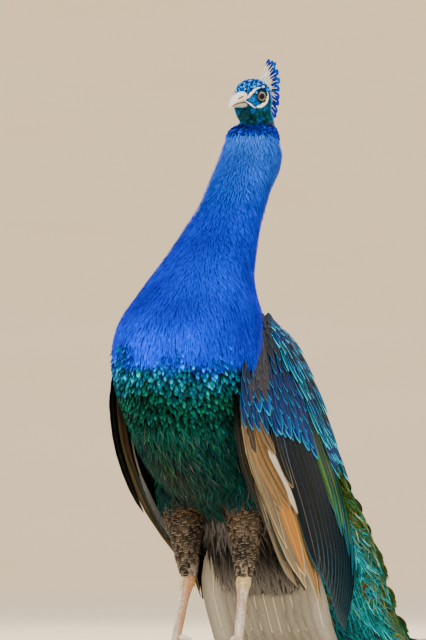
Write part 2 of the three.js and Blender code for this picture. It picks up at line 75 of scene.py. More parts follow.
def settle(material, node, inputs):
    """Sets inputs of a node to values, or links them to sockets or to the first socket of other nodes."""
    for key, value in inputs.items():
        value = value.outputs[0] if isinstance(value, bpy.types.Node) else value
        if isinstance(value, bpy.types.NodeSocket):
            material.node_tree.links.new(value, node.inputs[key])
        else:
            node.inputs[key].default_value = value


def add(material, kind, inputs=None, **settings):
    """A shader node with its settings and its inputs."""
    made = material.node_tree.nodes.new("ShaderNode" + kind)
    for key, value in settings.items():
        setattr(made, key, value)
    settle(material, made, inputs or {})
    return made


def new_material(name):
    """An empty material, and its Principled shader joined to the output."""
    made = bpy.data.materials.new(name)
    made.use_nodes = True
    made.node_tree.nodes.clear()
    shader = add(made, "BsdfPrincipled")
    add(made, "OutputMaterial", {"Surface": shader})
    return made, shader


def make_mesh(name, points, faces, smooth=True):
    """A mesh from an array of points and a list of arrays of faces, all triangles or all quads in each."""
    mesh = bpy.data.meshes.new(name)
    faces = [np.asarray(f, dtype=np.int32) for f in faces if len(f)]
    mesh.vertices.add(len(points))
    mesh.vertices.foreach_set("co", np.ascontiguousarray(points, dtype=np.float32).ravel())
    corners = np.concatenate([f.ravel() for f in faces])
    sizes = np.concatenate([np.full(len(f), f.shape[1]) for f in faces])
    mesh.loops.add(len(corners))
    mesh.loops.foreach_set("vertex_index", corners.astype(np.int32))
    mesh.polygons.add(len(sizes))
    mesh.polygons.foreach_set("loop_start", (np.cumsum(sizes) - sizes).astype(np.int32))
    mesh.polygons.foreach_set("use_smooth", np.full(len(sizes), smooth))
    mesh.update(calc_edges=True)
    return mesh


def show(name, mesh, material):
    made = bpy.data.objects.new(name, mesh)
    bpy.context.scene.collection.objects.link(made)
    mesh.materials.append(material)
    return made


def ladder(rings, size, closed=True):
    """Quads between successive rings of so many points each."""
    r, c = np.meshgrid(np.arange(rings - 1), np.arange(size if closed else size - 1), indexing="ij")
    nxt = (c + 1) % size
    return np.stack([r * size + c, r * size + nxt, (r + 1) * size + nxt, (r + 1) * size + c], -1).reshape(-1, 4)


def circle(count):
    return np.linspace(0, 2 * math.pi, count, endpoint=False)


# Metres: the flat floor's radius, the radius of the curve up to the wall, and the wall's top.
FLAT, CURVE, WALL_TOP = 24, 7, 17.0
profile = [(r, 0.0) for r in (0.0001, 1, 2, 4, 7, 12, 18, FLAT)]
profile += [(FLAT + CURVE * math.sin(a), CURVE - CURVE * math.cos(a)) for a in np.linspace(0.15, math.pi / 2, 10)]
profile += [(FLAT + CURVE, 11.0), (FLAT + CURVE, WALL_TOP)]
turns = circle(96)
bowl = [[(r * math.cos(a), -0.5 + r * math.sin(a), h) for a in turns] for r, h in profile]
# Matt cream paper with a faint fibre, lit a little from within so that it stays pale far from the lamps.
paper, shader = new_material("pale paper floor")
fibre = add(paper, "TexNoise", {"Scale": 40.0, "Detail": 4.0})
shade = add(paper, "MixRGB", {"Fac": fibre, "Color1": rgba("#F8E6BE"), "Color2": rgba("#F0D9AC")})
settle(
    paper, shader,
    {
        "Base Color": shade, "Roughness": 0.9, "Specular IOR Level": 0.1, "Emission Color": rgba("#FFE4BE"),
        "Emission Strength": 0.3
    }
)
floor_mesh = make_mesh("floor", np.array(bowl).reshape(-1, 3), [ladder(len(profile), len(turns))])
floor = show("floor", floor_mesh, paper)

world = bpy.data.worlds.new("studio")
world.use_nodes = True
world.node_tree.nodes["Background"].inputs["Color"].default_value = (0.80, 0.91, 1.14, 1)
world.node_tree.nodes["Background"].inputs["Strength"].default_value = 1.0
bpy.context.scene.world = world


def softbox(name, offset, size, power, tone):
    """A square area light at an offset from the bird's middle, aimed at it."""
    data = bpy.data.lights.new(name, "AREA")
    data.size = size
    data.energy = power
    data.color = tone
    made = bpy.data.objects.new(name, data)
    made.location = TARGET + Vector(offset)
    made.rotation_euler = (-Vector(offset)).to_track_quat("-Z", "Y").to_euler()
    bpy.context.scene.collection.objects.link(made)


softbox("key", (0.4, -3.2, 2.6), 2.2, 200, (1.0, 0.97, 0.92))
softbox("fill", (3.2, -1.4, 1.2), 2.6, 74, (0.95, 0.97, 1.0))
softbox("cool side", (-3.0, -0.6, 1.6), 2.6, 70, (0.95, 0.97, 1.0))
softbox("back", (-0.6, 3.4, 2.8), 2.6, 140, (1.0, 0.98, 0.94))


# ---------------------------------------------------------------- the bird's surfaces
# The forms that every feather lies on: neck and trunk, head, shins, vent and folded wings.
# Tables are in millimetres from a point between the feet: x to the bird's left, y back, z up.
FEET = np.array([0, -519.16, 0])


def place(points):
    """Millimetres between the feet to metres in the shared frame."""
    return (np.asarray(points, dtype=float) + FEET) / 1000


def smooth(table, at):
    """The columns of a table, read on a smooth curve at values of its first column."""
    table = np.asarray(table, dtype=float)
    table = table[np.argsort(table[:, 0])]
    x, y = table[:, 0], table[:, 1:]
    slope = np.gradient(y, x, axis=0)
    at = np.clip(at, x[0], x[-1])
    i = np.clip(np.searchsorted(x, at) - 1, 0, len(x) - 2)
    span = (x[i + 1] - x[i])[..., None]
    t = (at - x[i])[..., None] / span
    ends = (1 + 2 * t) * (1 - t) ** 2 * y[i] + t * t * (3 - 2 * t) * y[i + 1]
    return ends + span * (t * (1 - t) ** 2 * slope[i] + t * t * (t - 1) * slope[i + 1])


def unit(v):
    return v / np.maximum(np.linalg.norm(v, axis=-1, keepdims=True), 1e-9)


def ease(low, high, x):
    t = np.clip((x - low) / (high - low), 0, 1)
    return t * t * (3 - 2 * t)


# Each row is a level slice of neck and trunk: height, middle, front, back, half width.
BODY = [
    (814, 35, 84, 116, 16), (797, 35, 80, 125, 22), (783, 35, 77, 128, 25.5), (777, 35, 65, 126, 30),
    (771, 35, 56, 126, 34.5), (763, 35, 50, 128, 38), (751, 35, 45, 129, 41.5), (737, 35, 38, 133, 45),
    (713, 34, 22, 125, 47), (685, 31, 3, 107, 46), (656, 28, -14, 92, 48), (625, 23, -36, 77, 54),
    (592, 18, -60, 67, 62), (556, 12, -92, 62, 72), (523, 8, -120, 70, 85), (497, 4, -142, 92, 96),
    (470, 1, -157, 122, 103), (440, 0, -163, 148, 106), (400, 0, -159, 178, 105), (360, 0, -143, 206, 100),
    (320, 0, -116, 232, 94), (285, 0, -80, 250, 86), (258, 0, -36, 260, 76), (235, 0, 18, 262, 63),
    (215, 0, 72, 252, 49), (201, 0, 122, 232, 33), (194, 0, 158, 208, 17),
]
# How deep the coat is over the skin at each height.
COAT_DEPTH = [(190, 9), (260, 9), (360, 8), (430, 6), (500, 4), (760, 3.4), (790, 2), (830, 1.4)]


def body_ring(height, angles):
    middle, front, back, half = smooth(BODY, np.array(height))
    depth = float(smooth(COAT_DEPTH, np.array(height))[0])
    widest = front + 0.42 * (back - front)
    reach = np.where(np.sin(angles) > 0, back - widest, widest - front) - depth
    x = middle + (half - depth) * np.cos(angles)
    return np.stack([x, widest + reach * np.sin(angles), np.full(len(angles), height)], -1)


# Each row is a section square to the head: how far back, half width, underside, top.
SKULL = [
    (29, 8, -12, 8), (24, 16, -20, 17), (14, 22, -30, 24), (3, 24.6, -34, 27.5),
    (-8, 24, -36, 27.5), (-17, 21.5, -38, 26), (-25, 18.5, -36, 21.5), (-31, 13.5, -29, 14),
]
NOD, YAW = math.radians(12), math.radians(-4)
HEAD_AT = (34, 90, 818)


def head_to_bird(points, move=True):
    """From the head's own axes (left, back, up) to the bird's."""
    x, y, z = np.moveaxis(np.asarray(points, dtype=float), -1, 0)
    y, z = y * math.cos(NOD) - z * math.sin(NOD), y * math.sin(NOD) + z * math.cos(NOD)
    x, y = x * math.cos(YAW) - y * math.sin(YAW), x * math.sin(YAW) + y * math.cos(YAW)
    return np.stack([x, y, z], -1) + (HEAD_AT if move else 0)


def bird_to_head(points, one_side=False):
    """From the bird's axes to the head's, the right side folded onto the left if asked."""
    x, y, z = np.moveaxis(np.asarray(points, dtype=float) - HEAD_AT, -1, 0)
    x, y = x * math.cos(YAW) + y * math.sin(YAW), -x * math.sin(YAW) + y * math.cos(YAW)
    x = np.abs(x) if one_side else x
    return np.stack([x, y * math.cos(NOD) + z * math.sin(NOD), -y * math.sin(NOD) + z * math.cos(NOD)], -1)


def section_rings(rows, alongs, angles, inset=0.0, squareness=0.9):
    """Rings of rounded sections of the head or bill, in the head's axes."""
    half, low, high = np.moveaxis(smooth(rows, np.asarray(alongs, dtype=float)), -1, 0)
    soft = lambda v: np.sign(v) * np.abs(v) ** squareness
    x = (half - inset)[:, None] * soft(np.cos(angles))
    z = ((high + low) / 2)[:, None] + ((high - low) / 2 - inset)[:, None] * soft(np.sin(angles))
    y = np.repeat(np.asarray(alongs, dtype=float)[:, None], len(angles), 1)
    return np.stack([x, y, z], -1)


HIP, HEEL = (53, 34, 282), (44, 41, 138)
STEP = {"left": 12, "right": -6}
SIDES = {"left": 1, "right": -1}
# Each row is a section of the feathered shin: share of the way down, half width, half depth.
SHIN = [(0, 34, 42), (0.28, 31, 38), (0.52, 24.5, 28), (0.75, 18.5, 20.5), (0.92, 14.5, 15.5), (1, 11.5, 12)]
# Each row is a level slice of the down under the tail: height, front, back, half width.
VENT = [
    (238, 62, 206, 58), (212, 72, 212, 72), (184, 92, 208, 76), (158, 122, 204, 75), (134, 150, 202, 70),
    (118, 174, 204, 60)
]


def shin_ring(side, share, angles, inset):
    half, depth = smooth(SHIN, np.array(share))
    middle = np.array(HIP) * (side, 1, 1) * (1 - share) + np.array(HEEL) * (side, 1, 1) * share
    ring = np.stack([(half - inset) * np.cos(angles), (depth - inset) * np.sin(angles), 0 * angles], -1)
    return middle + ring


def tube(rings):
    """Points and faces of a closed solid through a list of rings, fanned shut at both ends."""
    rings = np.asarray(rings, dtype=float)
    count, size = rings.shape[:2]
    points = np.concatenate([rings.reshape(-1, 3), rings[:1].mean(1), rings[-1:].mean(1)])
    i = np.arange(size)
    first = np.stack([np.full(size, count * size), (i + 1) % size, i], -1)
    last = np.stack([np.full(size, count * size + 1), (count - 1) * size + i, (count - 1) * size + (i + 1) % size], -1)
    return points, [ladder(count, size), first, last]


def merge(parts):
    """Several (points, faces) pairs as one."""
    points, quads, tris, start = [], [], [], 0
    for p, faces in parts:
        points.append(p)
        for f in faces:
            (quads if f.shape[1] == 4 else tris).append(f + start)
        start += len(p)
    faces = [np.concatenate(group) for group in (quads, tris) if group]
    return np.concatenate(points), faces


def blend(a, b, share):
    return a + (b - a) * np.asarray(share)[..., None]


def spline(rows, t):
    """A centripetal Catmull-Rom curve through the rows, at shares of their number."""
    rows = np.asarray(rows, dtype=float)
    last = len(rows) - 1
    padded = np.concatenate([2 * rows[:1] - rows[1:2], rows, 2 * rows[-1:] - rows[-2:-1]])
    t = np.asarray(t, dtype=float) * last
    i = np.clip(t.astype(int), 0, last - 1)
    w = (t - i)[..., None]
    p0, p1, p2, p3 = (padded[i + k] for k in range(4))
    d0, d1, d2 = (np.sqrt(np.linalg.norm(b - a, axis=-1, keepdims=True)) for a, b in ((p0, p1), (p1, p2), (p2, p3)))
    t1 = ((p1 - p0) / d0 - (p2 - p0) / (d0 + d1) + (p2 - p1) / d1) * d1
    t2 = ((p2 - p1) / d1 - (p3 - p1) / (d1 + d2) + (p3 - p2) / d2) * d1
    return p1 + t1 * w + (3 * (p2 - p1) - 2 * t1 - t2) * w**2 + (2 * (p1 - p2) + t1 + t2) * w**3


WINGS = {
    "left": (
        [(78, 8, 506), (89, -35, 459), (97, -60, 391), (99, -46, 305), (98, 3, 243), (94, 75, 163), (91, 131, 120)],
        [(46, 80, 497), (61, 142, 477), (72, 196, 413), (78, 256, 321), (82, 300, 240), (83, 313, 162), (80, 281, 52)],
    ),
    "right": (
        [(80, 4, 500), (90, -48, 462), (99, -80, 405), (108, -56, 329), (110, 0, 252), (109, 60, 200), (103, 125, 155)],
        [(50, 92, 507), (68, 136, 470), (82, 184, 400), (92, 238, 312), (98, 280, 230), (100, 294, 152), (96, 262, 46)],
    ),
}


def wing_point(name, u, v, out=0.0):
    """A place on a folded wing: share of the way to its tip, share of the way from front to back edge."""
    u, v = np.broadcast_arrays(np.asarray(u, dtype=float), np.asarray(v, dtype=float))
    front, back = WINGS[name]
    at = blend(spline(front, u), spline(back, u), v)
    at[..., 0] += 20 * np.sin(np.pi * np.clip(v, 0, 1)) * (1 - 0.55 * u) + out
    return at * (SIDES[name], 1, 1)


def wing_normal(name, u, v):
    du = wing_point(name, u + 0.01, v) - wing_point(name, u - 0.01, v)
    dv = wing_point(name, u, v + 0.01) - wing_point(name, u, v - 0.01)
    facing = unit(np.cross(du, dv))
    return facing * np.sign(facing[..., :1]) * SIDES[name]


# ---------------------------------------------------------------- skin
# One closed skin from the crown to the heels: head, neck, trunk, shins and vent grown together,
# drawn in under the coat by its depth. The face is refined and then sculpted round the eyes and bill.
def grown_together(name, parts, voxel, rounds):
    """One closed mesh out of overlapping solids, remeshed and softened."""
    points, faces = merge(parts)
    rough = show(name, make_mesh(name, place(points), faces), paper)
    join = rough.modifiers.new("one skin", "REMESH")
    join.mode = "VOXEL"
    join.voxel_size = voxel
    soften = rough.modifiers.new("soften", "SMOOTH")
    soften.factor = 0.5
    soften.iterations = rounds
    graph = bpy.context.evaluated_depsgraph_get()
    made = bpy.data.meshes.new_from_object(rough.evaluated_get(graph))
    made.materials.clear()
    bpy.data.objects.remove(rough)
    return made


ring64 = circle(64)
heights = np.concatenate([np.linspace(198, 260, 14), np.linspace(266, 812, 84)])
trunk = [body_ring(h, ring64) for h in heights]
alongs = np.concatenate([np.linspace(-31, -20, 8), np.linspace(-18, 29, 26)])
skull = [head_to_bird(r) for r in section_rings(SKULL, alongs, ring64, 1.2)]
shins = [[shin_ring(s, t, ring64, 4) for t in np.linspace(0, 1, 20)] for s in SIDES.values()]
vent_rows = smooth(VENT, np.linspace(238, 132, 12))
vent = []
for h, (front, back, half) in zip(np.linspace(238, 132, 12), vent_rows):
    y = (front + back) / 2 + ((back - front) / 2 - 14) * np.sin(ring64)
    vent.append(np.stack([(half - 16) * np.cos(ring64), y, np.full(64, h)], -1))
skin_mesh = grown_together("rough body", [tube(part) for part in (trunk, skull, *shins, vent)], 0.003, 5)


def coordinates(mesh):
    """The mesh's points in millimetres between the feet."""
    flat = np.empty(len(mesh.vertices) * 3, dtype=np.float32)
    mesh.vertices.foreach_get("co", flat)
    return flat.reshape(-1, 3).astype(float) * 1000 - FEET


def set_points(mesh, points):
    """Moves a mesh's points, in millimetres, and shades it smooth."""
    mesh.vertices.foreach_set("co", place(points).astype(np.float32).ravel())
    mesh.polygons.foreach_set("use_smooth", np.full(len(mesh.polygons), True))


fine = bmesh.new()
fine.from_mesh(skin_mesh)
for reach in (36, 33):  # twice finer round the head
    fine.verts.ensure_lookup_table()
    near = [v for v in fine.verts if (v.co - Vector(place(HEAD_AT))).length < reach / 1000]
    picked = {e for v in near for e in v.link_edges}
    bmesh.ops.subdivide_edges(fine, edges=list(picked), cuts=1, use_grid_fill=True)
for v in fine.verts:
    v.select = False
bmesh.ops.triangulate(fine, faces=[f for f in fine.faces if len(f.verts) > 4])
fine.to_mesh(skin_mesh)
fine.free()

# The eye's place in the head's axes, and the way it looks: out, and forward.
EYE_AT = np.array([17.2, -9.5, 2.2])
EYE_RADIUS = 7.6
GAZE = unit(np.array([math.cos(math.radians(36)), -math.sin(math.radians(36)), 0.02]))
# Bare white skin: a stripe over each eye from the bill, and a crescent under and behind it.
BROW_STRIPE = [
    (9.5, -31, 3, 1.2), (12.4, -29.5, 6.6, 2.0), (14.9, -25.3, 10.5, 2.3), (16.5, -19.3, 13.6, 1.9),
    (17.8, -14.4, 15, 1.4), (19.4, -9.1, 15.2, 1.3), (21.3, -4.6, 12.8, 0.7),
]
CRESCENT = [
    (17.4, -26.1, -12.1, 0.6), (19.9, -20.8, -11.3, 2.1), (21.8, -15.2, -11.0, 2.8), (23.6, -9.1, -8.8, 2.9),
    (24.2, -3.5, -5.0, 3.2), (24.4, -0.4, -0.9, 3.2), (24.1, 1.5, 3.4, 2.9), (23.6, 2.6, 6.9, 2.4),
    (22.9, 3.2, 10.0, 1.2),
]
GAPE_FOLD = [(8.6, -33, -3.0, 1.2), (11.5, -31.6, -5.6, 1.4), (14.1, -30.2, -8.2, 1.4), (15.6, -28.4, -10.7, 0.9)]


def near_line(points, line):
    """How far each point is outside a line of varying half width, in the head's axes, left side only."""
    line = np.asarray(line, dtype=float)
    best = np.full(len(points), 1e9)
    for a, b in zip(line[:-1], line[1:]):
        along = b[:3] - a[:3]
        t = np.clip((points - a[:3]) @ along / (along @ along), 0, 1)
        gap = np.linalg.norm(points - a[:3] - t[:, None] * along, axis=1) - (a[3] + (b[3] - a[3]) * t)
        best = np.minimum(best, gap)
    return best


def bare_skin(points):
    """Bird points to signed distance outside the bare white skin, both sides alike."""
    local = bird_to_head(points, one_side=True)
    return np.minimum.reduce([near_line(local, line) for line in (BROW_STRIPE, CRESCENT, GAPE_FOLD)])


def normals_of(points, triangles):
    a, b, c = (points[triangles[:, i]] for i in range(3))
    facing = np.cross(b - a, c - a)
    total = np.zeros_like(points)
    for i in range(3):
        np.add.at(total, triangles[:, i], facing)
    return unit(total)


def triangles_of(mesh):
    mesh.calc_loop_triangles()
    corners = np.empty(len(mesh.loop_triangles) * 3, dtype=np.int32)
    mesh.loop_triangles.foreach_get("vertices", corners)
    loops = np.empty(len(mesh.loop_triangles) * 3, dtype=np.int32)
    mesh.loop_triangles.foreach_get("loops", loops)
    return corners.reshape(-1, 3), loops.reshape(-1, 3)


skin_points = coordinates(skin_mesh)
skin_tris, _ = triangles_of(skin_mesh)
out = normals_of(skin_points, skin_tris)
flank = bird_to_head(skin_points, one_side=True)
pole = EYE_AT + GAZE * EYE_RADIUS
from_eye = np.linalg.norm(flank - pole, axis=1)
on_head = from_eye < 45
move = -2.6 * np.exp(-((from_eye / 6.5) ** 4))  # the socket
move += 0.9 * np.exp(-(((from_eye - 9.5) / 2.6) ** 2)) * (flank[:, 2] > -2)  # the brow over it
bare = bare_skin(skin_points)
move += 1.1 * (1 - ease(-1.6, 0.7, bare))  # bare skin stands a little proud between the feathers
lores = np.exp(-(((flank[:, 1] + 25) / 5) ** 2 + ((flank[:, 2] - 1) / 6) ** 2))
move -= 1.0 * lores
skin_points += out * (move * on_head)[:, None]
set_points(skin_mesh, skin_points)
skin_mesh.update()
skin = bpy.data.objects.new("skin", skin_mesh)
bpy.context.scene.collection.objects.link(skin)

bpy.context.view_layer.objects.active = skin
skin.select_set(True)
bpy.ops.object.mode_set(mode="EDIT")
bpy.ops.mesh.select_all(action="SELECT")
bpy.ops.uv.smart_project(angle_limit=math.radians(70), island_margin=0.002)
bpy.ops.object.mode_set(mode="OBJECT")
skin_mesh = skin.data
skin_mesh.uv_layers[0].name = "OFBake"
skin_tris, skin_loops = triangles_of(skin_mesh)
skin_normals = normals_of(skin_points, skin_tris)
flat = np.empty(len(skin_mesh.loops) * 2, dtype=np.float32)
skin_mesh.uv_layers[0].data.foreach_get("uv", flat)
skin_uv = flat.reshape(-1, 2)[skin_loops]
tree = BVHTree.FromPolygons(skin_points.tolist(), skin_tris.tolist(), all_triangles=True)


def settle_on_skin(points):
    """The nearest places on the skin: points, normals and the unwrap's coordinates."""
    found = [tree.find_nearest(p) for p in points.tolist()]
    at = np.array([tuple(f[0]) for f in found])
    tri = np.array([f[2] for f in found])
    a, b, c = (skin_points[skin_tris[tri, i]] for i in range(3))
    whole = np.cross(b - a, c - a)
    size = np.maximum(np.einsum("ij,ij->i", whole, whole), 1e-12)
    wa = np.einsum("ij,ij->i", np.cross(b - at, c - at), whole) / size
    wb = np.einsum("ij,ij->i", np.cross(c - at, a - at), whole) / size
    weights = np.clip(np.stack([wa, wb, 1 - wa - wb], -1), 0, 1)
    weights /= weights.sum(1, keepdims=True)
    normal = unit(np.einsum("ij,ijk->ik", weights, skin_normals[skin_tris[tri]]))
    return at, normal, np.einsum("ij,ijk->ik", weights, skin_uv[tri])


u, v = np.meshgrid(np.linspace(-0.02, 0.95, 40), np.linspace(0.07, 1.0, 24), indexing="ij")
wing_trees = {
    name: BVHTree.FromPolygons(
        wing_point(name, u, v, -5).reshape(-1, 3).tolist(), ladder(40, 24, closed=False).tolist()
    )
    for name in WINGS
}


def clear_of_wings(roots, length, rise):
    """The roots whose feathers would not come out through a folded wing."""
    kept = np.ones(len(roots), dtype=bool)
    for share in (0.0, 0.5, 1.0):
        at, normal, _ = settle_on_skin(roots + lie(roots) * length * share)
        for i, (x, y, z) in enumerate((at + normal * rise).tolist()):
            if kept[i] and abs(x) > 30:
                side = "left" if x > 0 else "right"
                hit = wing_trees[side].ray_cast(Vector((x, y, z)), Vector((-SIDES[side], 0, 0)), abs(x))
                kept[i] = hit[0] is None
    return roots[kept]


# ---------------------------------------------------------------- markings
# Where the bird is blue, green, brown or bare. One set of markings paints the skin and every tuft on it, so
# that the ground between feathers never shows as another colour. Each is a mix of named feather colours.
COBALT, DEEP_BLUE, SHEEN_BLUE = colour("#0046FF"), colour("#0030DC"), colour("#3C8CFF")
TEAL, GREEN, DARK_GREEN = colour("#06789C"), colour("#0C6458"), colour("#103840")
BLACK_BROWN, BROWN, GREY_BROWN = colour("#1B1512"), colour("#4A382A"), colour("#6A5C50")
CROWN_BLUE, CHEEK_TEAL, THROAT_GREEN = colour("#0660B4"), colour("#034A66"), colour("#03484E")
LORES_BLUE, BARE_WHITE, BRONZE = colour("#0A66B8"), colour("#F2ECDE"), colour("#5C5A24")


def ripple(points, size, seed=0):
    """A smooth, irregular value from -1 to 1 that varies over about the given size in millimetres."""
    total = np.zeros(points.shape[:-1])
    turn = np.random.default_rng(seed)
    for _ in range(5):
        way = turn.normal(size=3) / size
        total += np.sin(points @ way * 2.2 + turn.uniform(0, 6.3))
    return total / 2.6


def eye_shade(points):
    """The dark patch round and over each eye, from 0 to 1."""
    head = bird_to_head(points, one_side=True)
    along, up = head[..., 1], head[..., 2]
    from_pole = np.linalg.norm(head - pole, axis=-1)
    over = ease(0, 4, up) * ease(1, -3, along) * ease(-19, -15, along) * ease(15.5, 13, up)
    return np.clip(ease(12.5, 8.5, from_pole) + over, 0, 1)


def marking(points):
    """The plumage's colour at bird points."""
    x, y, z = np.moveaxis(points, -1, 0)
    edge = z + 5 + 0.11 * (x + 60) + 10 * ripple(points, 34, 1) + 9 * ripple(points, 9, 2)
    tone = blend(COBALT, DEEP_BLUE, np.clip(0.35 + 0.5 * ripple(points, 60, 3), 0, 1))
    # Painted sheen: the neck is blended towards a lighter blue from halfway up to the throat.
    tone = blend(tone, SHEEN_BLUE, ease(600, 760, z) * 0.85)
    tone = blend(tone, TEAL, ease(448, 424, edge))
    tone = blend(tone, GREEN, ease(424, 384, edge))
    tone = blend(tone, DARK_GREEN, ease(378, 318, edge) * 0.9)
    middle = np.exp(-(((x + 6) / 34) ** 2 + ((z - 268) / 34) ** 2)) * (y < 60)
    tone = blend(tone, colour("#352F30"), np.clip(middle * 0.7, 0, 1))
    back = ease(70, 120, y) * ease(520, 470, z)
    tone = blend(tone, BRONZE, back * 0.7)
    head = bird_to_head(points)
    along, up = head[..., 1], head[..., 2]
    on_head = ease(769, 777, z + 3 * ripple(points, 8, 4)) * ease(44, 34, along + 0.3 * up)
    crown = ease(4, 12, up)
    front = ease(16, 6, along)
    face = blend(blend(THROAT_GREEN, CHEEK_TEAL, ease(-26, -12, up)), CROWN_BLUE, crown)
    lore = ease(-15, -20, along) * ease(-11, -8, up) * ease(8, 4, up)
    face = blend(face, LORES_BLUE, lore)
    face = blend(face, colour("#02141A"), eye_shade(points) * 0.92)
    blue_streak = ease(0.3, 0.7, ripple(points, 11, 8)) * ease(-8, -16, up)
    face = blend(face, colour("#0458A8"), blue_streak * 0.7)
    face = face * (1 + 0.6 * ripple(points, 4, 6) * (1 - lore))[..., None].clip(0.2, 2)
    tone = blend(tone, face, on_head * np.maximum(front, crown))
    return tone


def paint(mesh, name, tones):
    """A colour for each point of a mesh."""
    layer = mesh.color_attributes.new(name, "FLOAT_COLOR", "POINT")
    layer.data.foreach_set("color", np.concatenate([tones, np.ones((len(tones), 1))], -1).astype(np.float32).ravel())


# The skin takes the plumage's markings at under a third of their brightness: painted shade in the depth between the
# feathers.
shaded_skin_tone = marking(skin_points) * 0.3
shin_zone = (skin_points[:, 2] < 246) & (np.abs(skin_points[:, 0]) > 14) & (skin_points[:, 1] < 76)
shaded_skin_tone[shin_zone] = BROWN * 0.7
low_zone = (skin_points[:, 2] < 250) & (skin_points[:, 1] > 60) & ~shin_zone
shaded_skin_tone[low_zone] = BLACK_BROWN
bare = bare_skin(skin_points)
shaded_skin_tone = blend(shaded_skin_tone, BARE_WHITE, 1 - ease(-0.7, 0.5, bare))
paint(skin_mesh, "tint", shaded_skin_tone)
# Living skin, soft and dull, with pores and fine wrinkles, painted dark as shade in the depth between the feathers.
# The pores are drawn coarser than real ones, so that they show.
hide, shader = new_material("skin under the plumage")
tint = add(hide, "Attribute", attribute_name="tint")
pores = add(hide, "TexNoise", {"Scale": 900.0, "Detail": 3.0})
wrinkles = add(hide, "Bump", {"Strength": 0.35, "Distance": 0.0006, "Height": pores})
settle(hide, shader, {"Base Color": tint, "Normal": wrinkles, "Roughness": 0.6, "Specular IOR Level": 0.15})
skin_mesh.materials.append(hide)
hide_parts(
    "head", "neck_upper", "neck_lower", "breast", "belly", "back", "rump", "vent_down", "thigh_left",
    "thigh_right"
)
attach(skin, "root")


# ---------------------------------------------------------------- plumage, how it is made
# Every feather is keratin: a shaft with a vane of barbs on both sides. Here it is a strip of quads along a path
# that lies on the bird, cupped across. Its thin layers give a metal gleam that shifts in colour at a glance, and
# its barbs give fine slanted lines, drawn far coarser than real ones so that they show.
def plumage(
    name, metal=0.25, rough=0.42, barb=0.3, rim_width=0.0, rim_sides=1.0, shaft=0.0, lines=9.0, glance="#FFFFFF"
):
    """Feather stuff: tinted by point, with barbs, perhaps a pale rim and a shaft, and a tint where light glances off."""
    made, shader = new_material(name)
    tint = add(made, "Attribute", attribute_name="tint")
    uv = add(made, "UVMap", uv_map="vane")
    parts = add(made, "SeparateXYZ", {"Vector": uv})
    across = add(made, "Math", {0: parts.outputs[0], 1: 0.5}, operation="SUBTRACT")
    across = add(made, "Math", {0: across}, operation="ABSOLUTE")
    if rim_width:
        rim = add(made, "Attribute", attribute_name="rim")
        side = add(made, "Math", {0: across, 1: 2.0}, operation="MULTIPLY")
        side = add(made, "Math", {0: side, 1: 2.0}, operation="POWER")
        side = add(made, "Math", {0: side, 1: rim_sides}, operation="MULTIPLY")
        end = add(made, "Math", {0: parts.outputs[1], 1: 7.0}, operation="POWER")
        far = add(made, "Math", {0: side, 1: end}, operation="ADD")
        mask = add(made, "MapRange", {"Value": far, 1: 1 - rim_width, 2: 1 - rim_width * 0.4})
        tint = add(made, "MixRGB", {"Fac": mask, "Color1": tint, "Color2": rim})
    if shaft:
        line = add(made, "MapRange", {"Value": across, 1: shaft, 2: shaft * 0.5})
        lit = add(made, "MixRGB", {"Fac": 0.16, "Color1": tint, "Color2": (0.85, 0.8, 0.7, 1)})
        tint = add(made, "MixRGB", {"Fac": line, "Color1": tint, "Color2": lit})
    slope = add(made, "Math", {0: across, 1: 1.3, 2: parts.outputs[1]}, operation="MULTIPLY_ADD")
    phase = add(made, "Math", {0: slope, 1: lines * 6.283}, operation="MULTIPLY")
    wave = add(made, "Math", {0: phase}, operation="SINE")
    where = add(made, "TexCoord")
    grain = add(made, "TexNoise", {"Vector": where.outputs["Object"], "Scale": 260.0, "Detail": 2.0})
    mixed = add(made, "Math", {0: wave, 1: 0.25, 2: grain}, operation="MULTIPLY_ADD")
    dark = add(made, "MapRange", {"Value": mixed, 1: 0.1, 2: 0.9, 3: 1 - barb, 4: 1 + barb * 0.6})
    toned = add(made, "VectorMath", {0: tint, "Scale": dark}, operation="SCALE")
    ridge = add(made, "Bump", {"Strength": 0.3, "Distance": 0.0004, "Height": wave})
    finish = {"Base Color": toned, "Metallic": metal, "Roughness": rough, "Normal": ridge}
    finish["Specular IOR Level"] = 0.12
    finish["Specular Tint"] = rgba(glance)
    settle(made, shader, finish)
    return made


def vanes(path, normal, half, columns=3, cup=0.25, roll=0.0):
    """Points (feather, row, column) of strips along paths, and their across and along coordinates."""
    along = unit(np.gradient(path, axis=1))
    side = unit(np.cross(along, normal))
    up = unit(np.cross(side, along))
    roll = np.broadcast_to(np.asarray(roll, dtype=float), path.shape[:1])[:, None, None]
    side, up = side * np.cos(roll) + up * np.sin(roll), up * np.cos(roll) - side * np.sin(roll)
    c = np.linspace(-1, 1, columns)[None, None, :, None]
    wide = half[..., None, None]
    points = path[:, :, None] + side[:, :, None] * wide * c - up[:, :, None] * wide * cup * c * c
    rows = path.shape[1]
    x, y = np.meshgrid(np.linspace(0, 1, columns), np.linspace(0, 1, rows))
    return points, np.stack([x, y], -1)


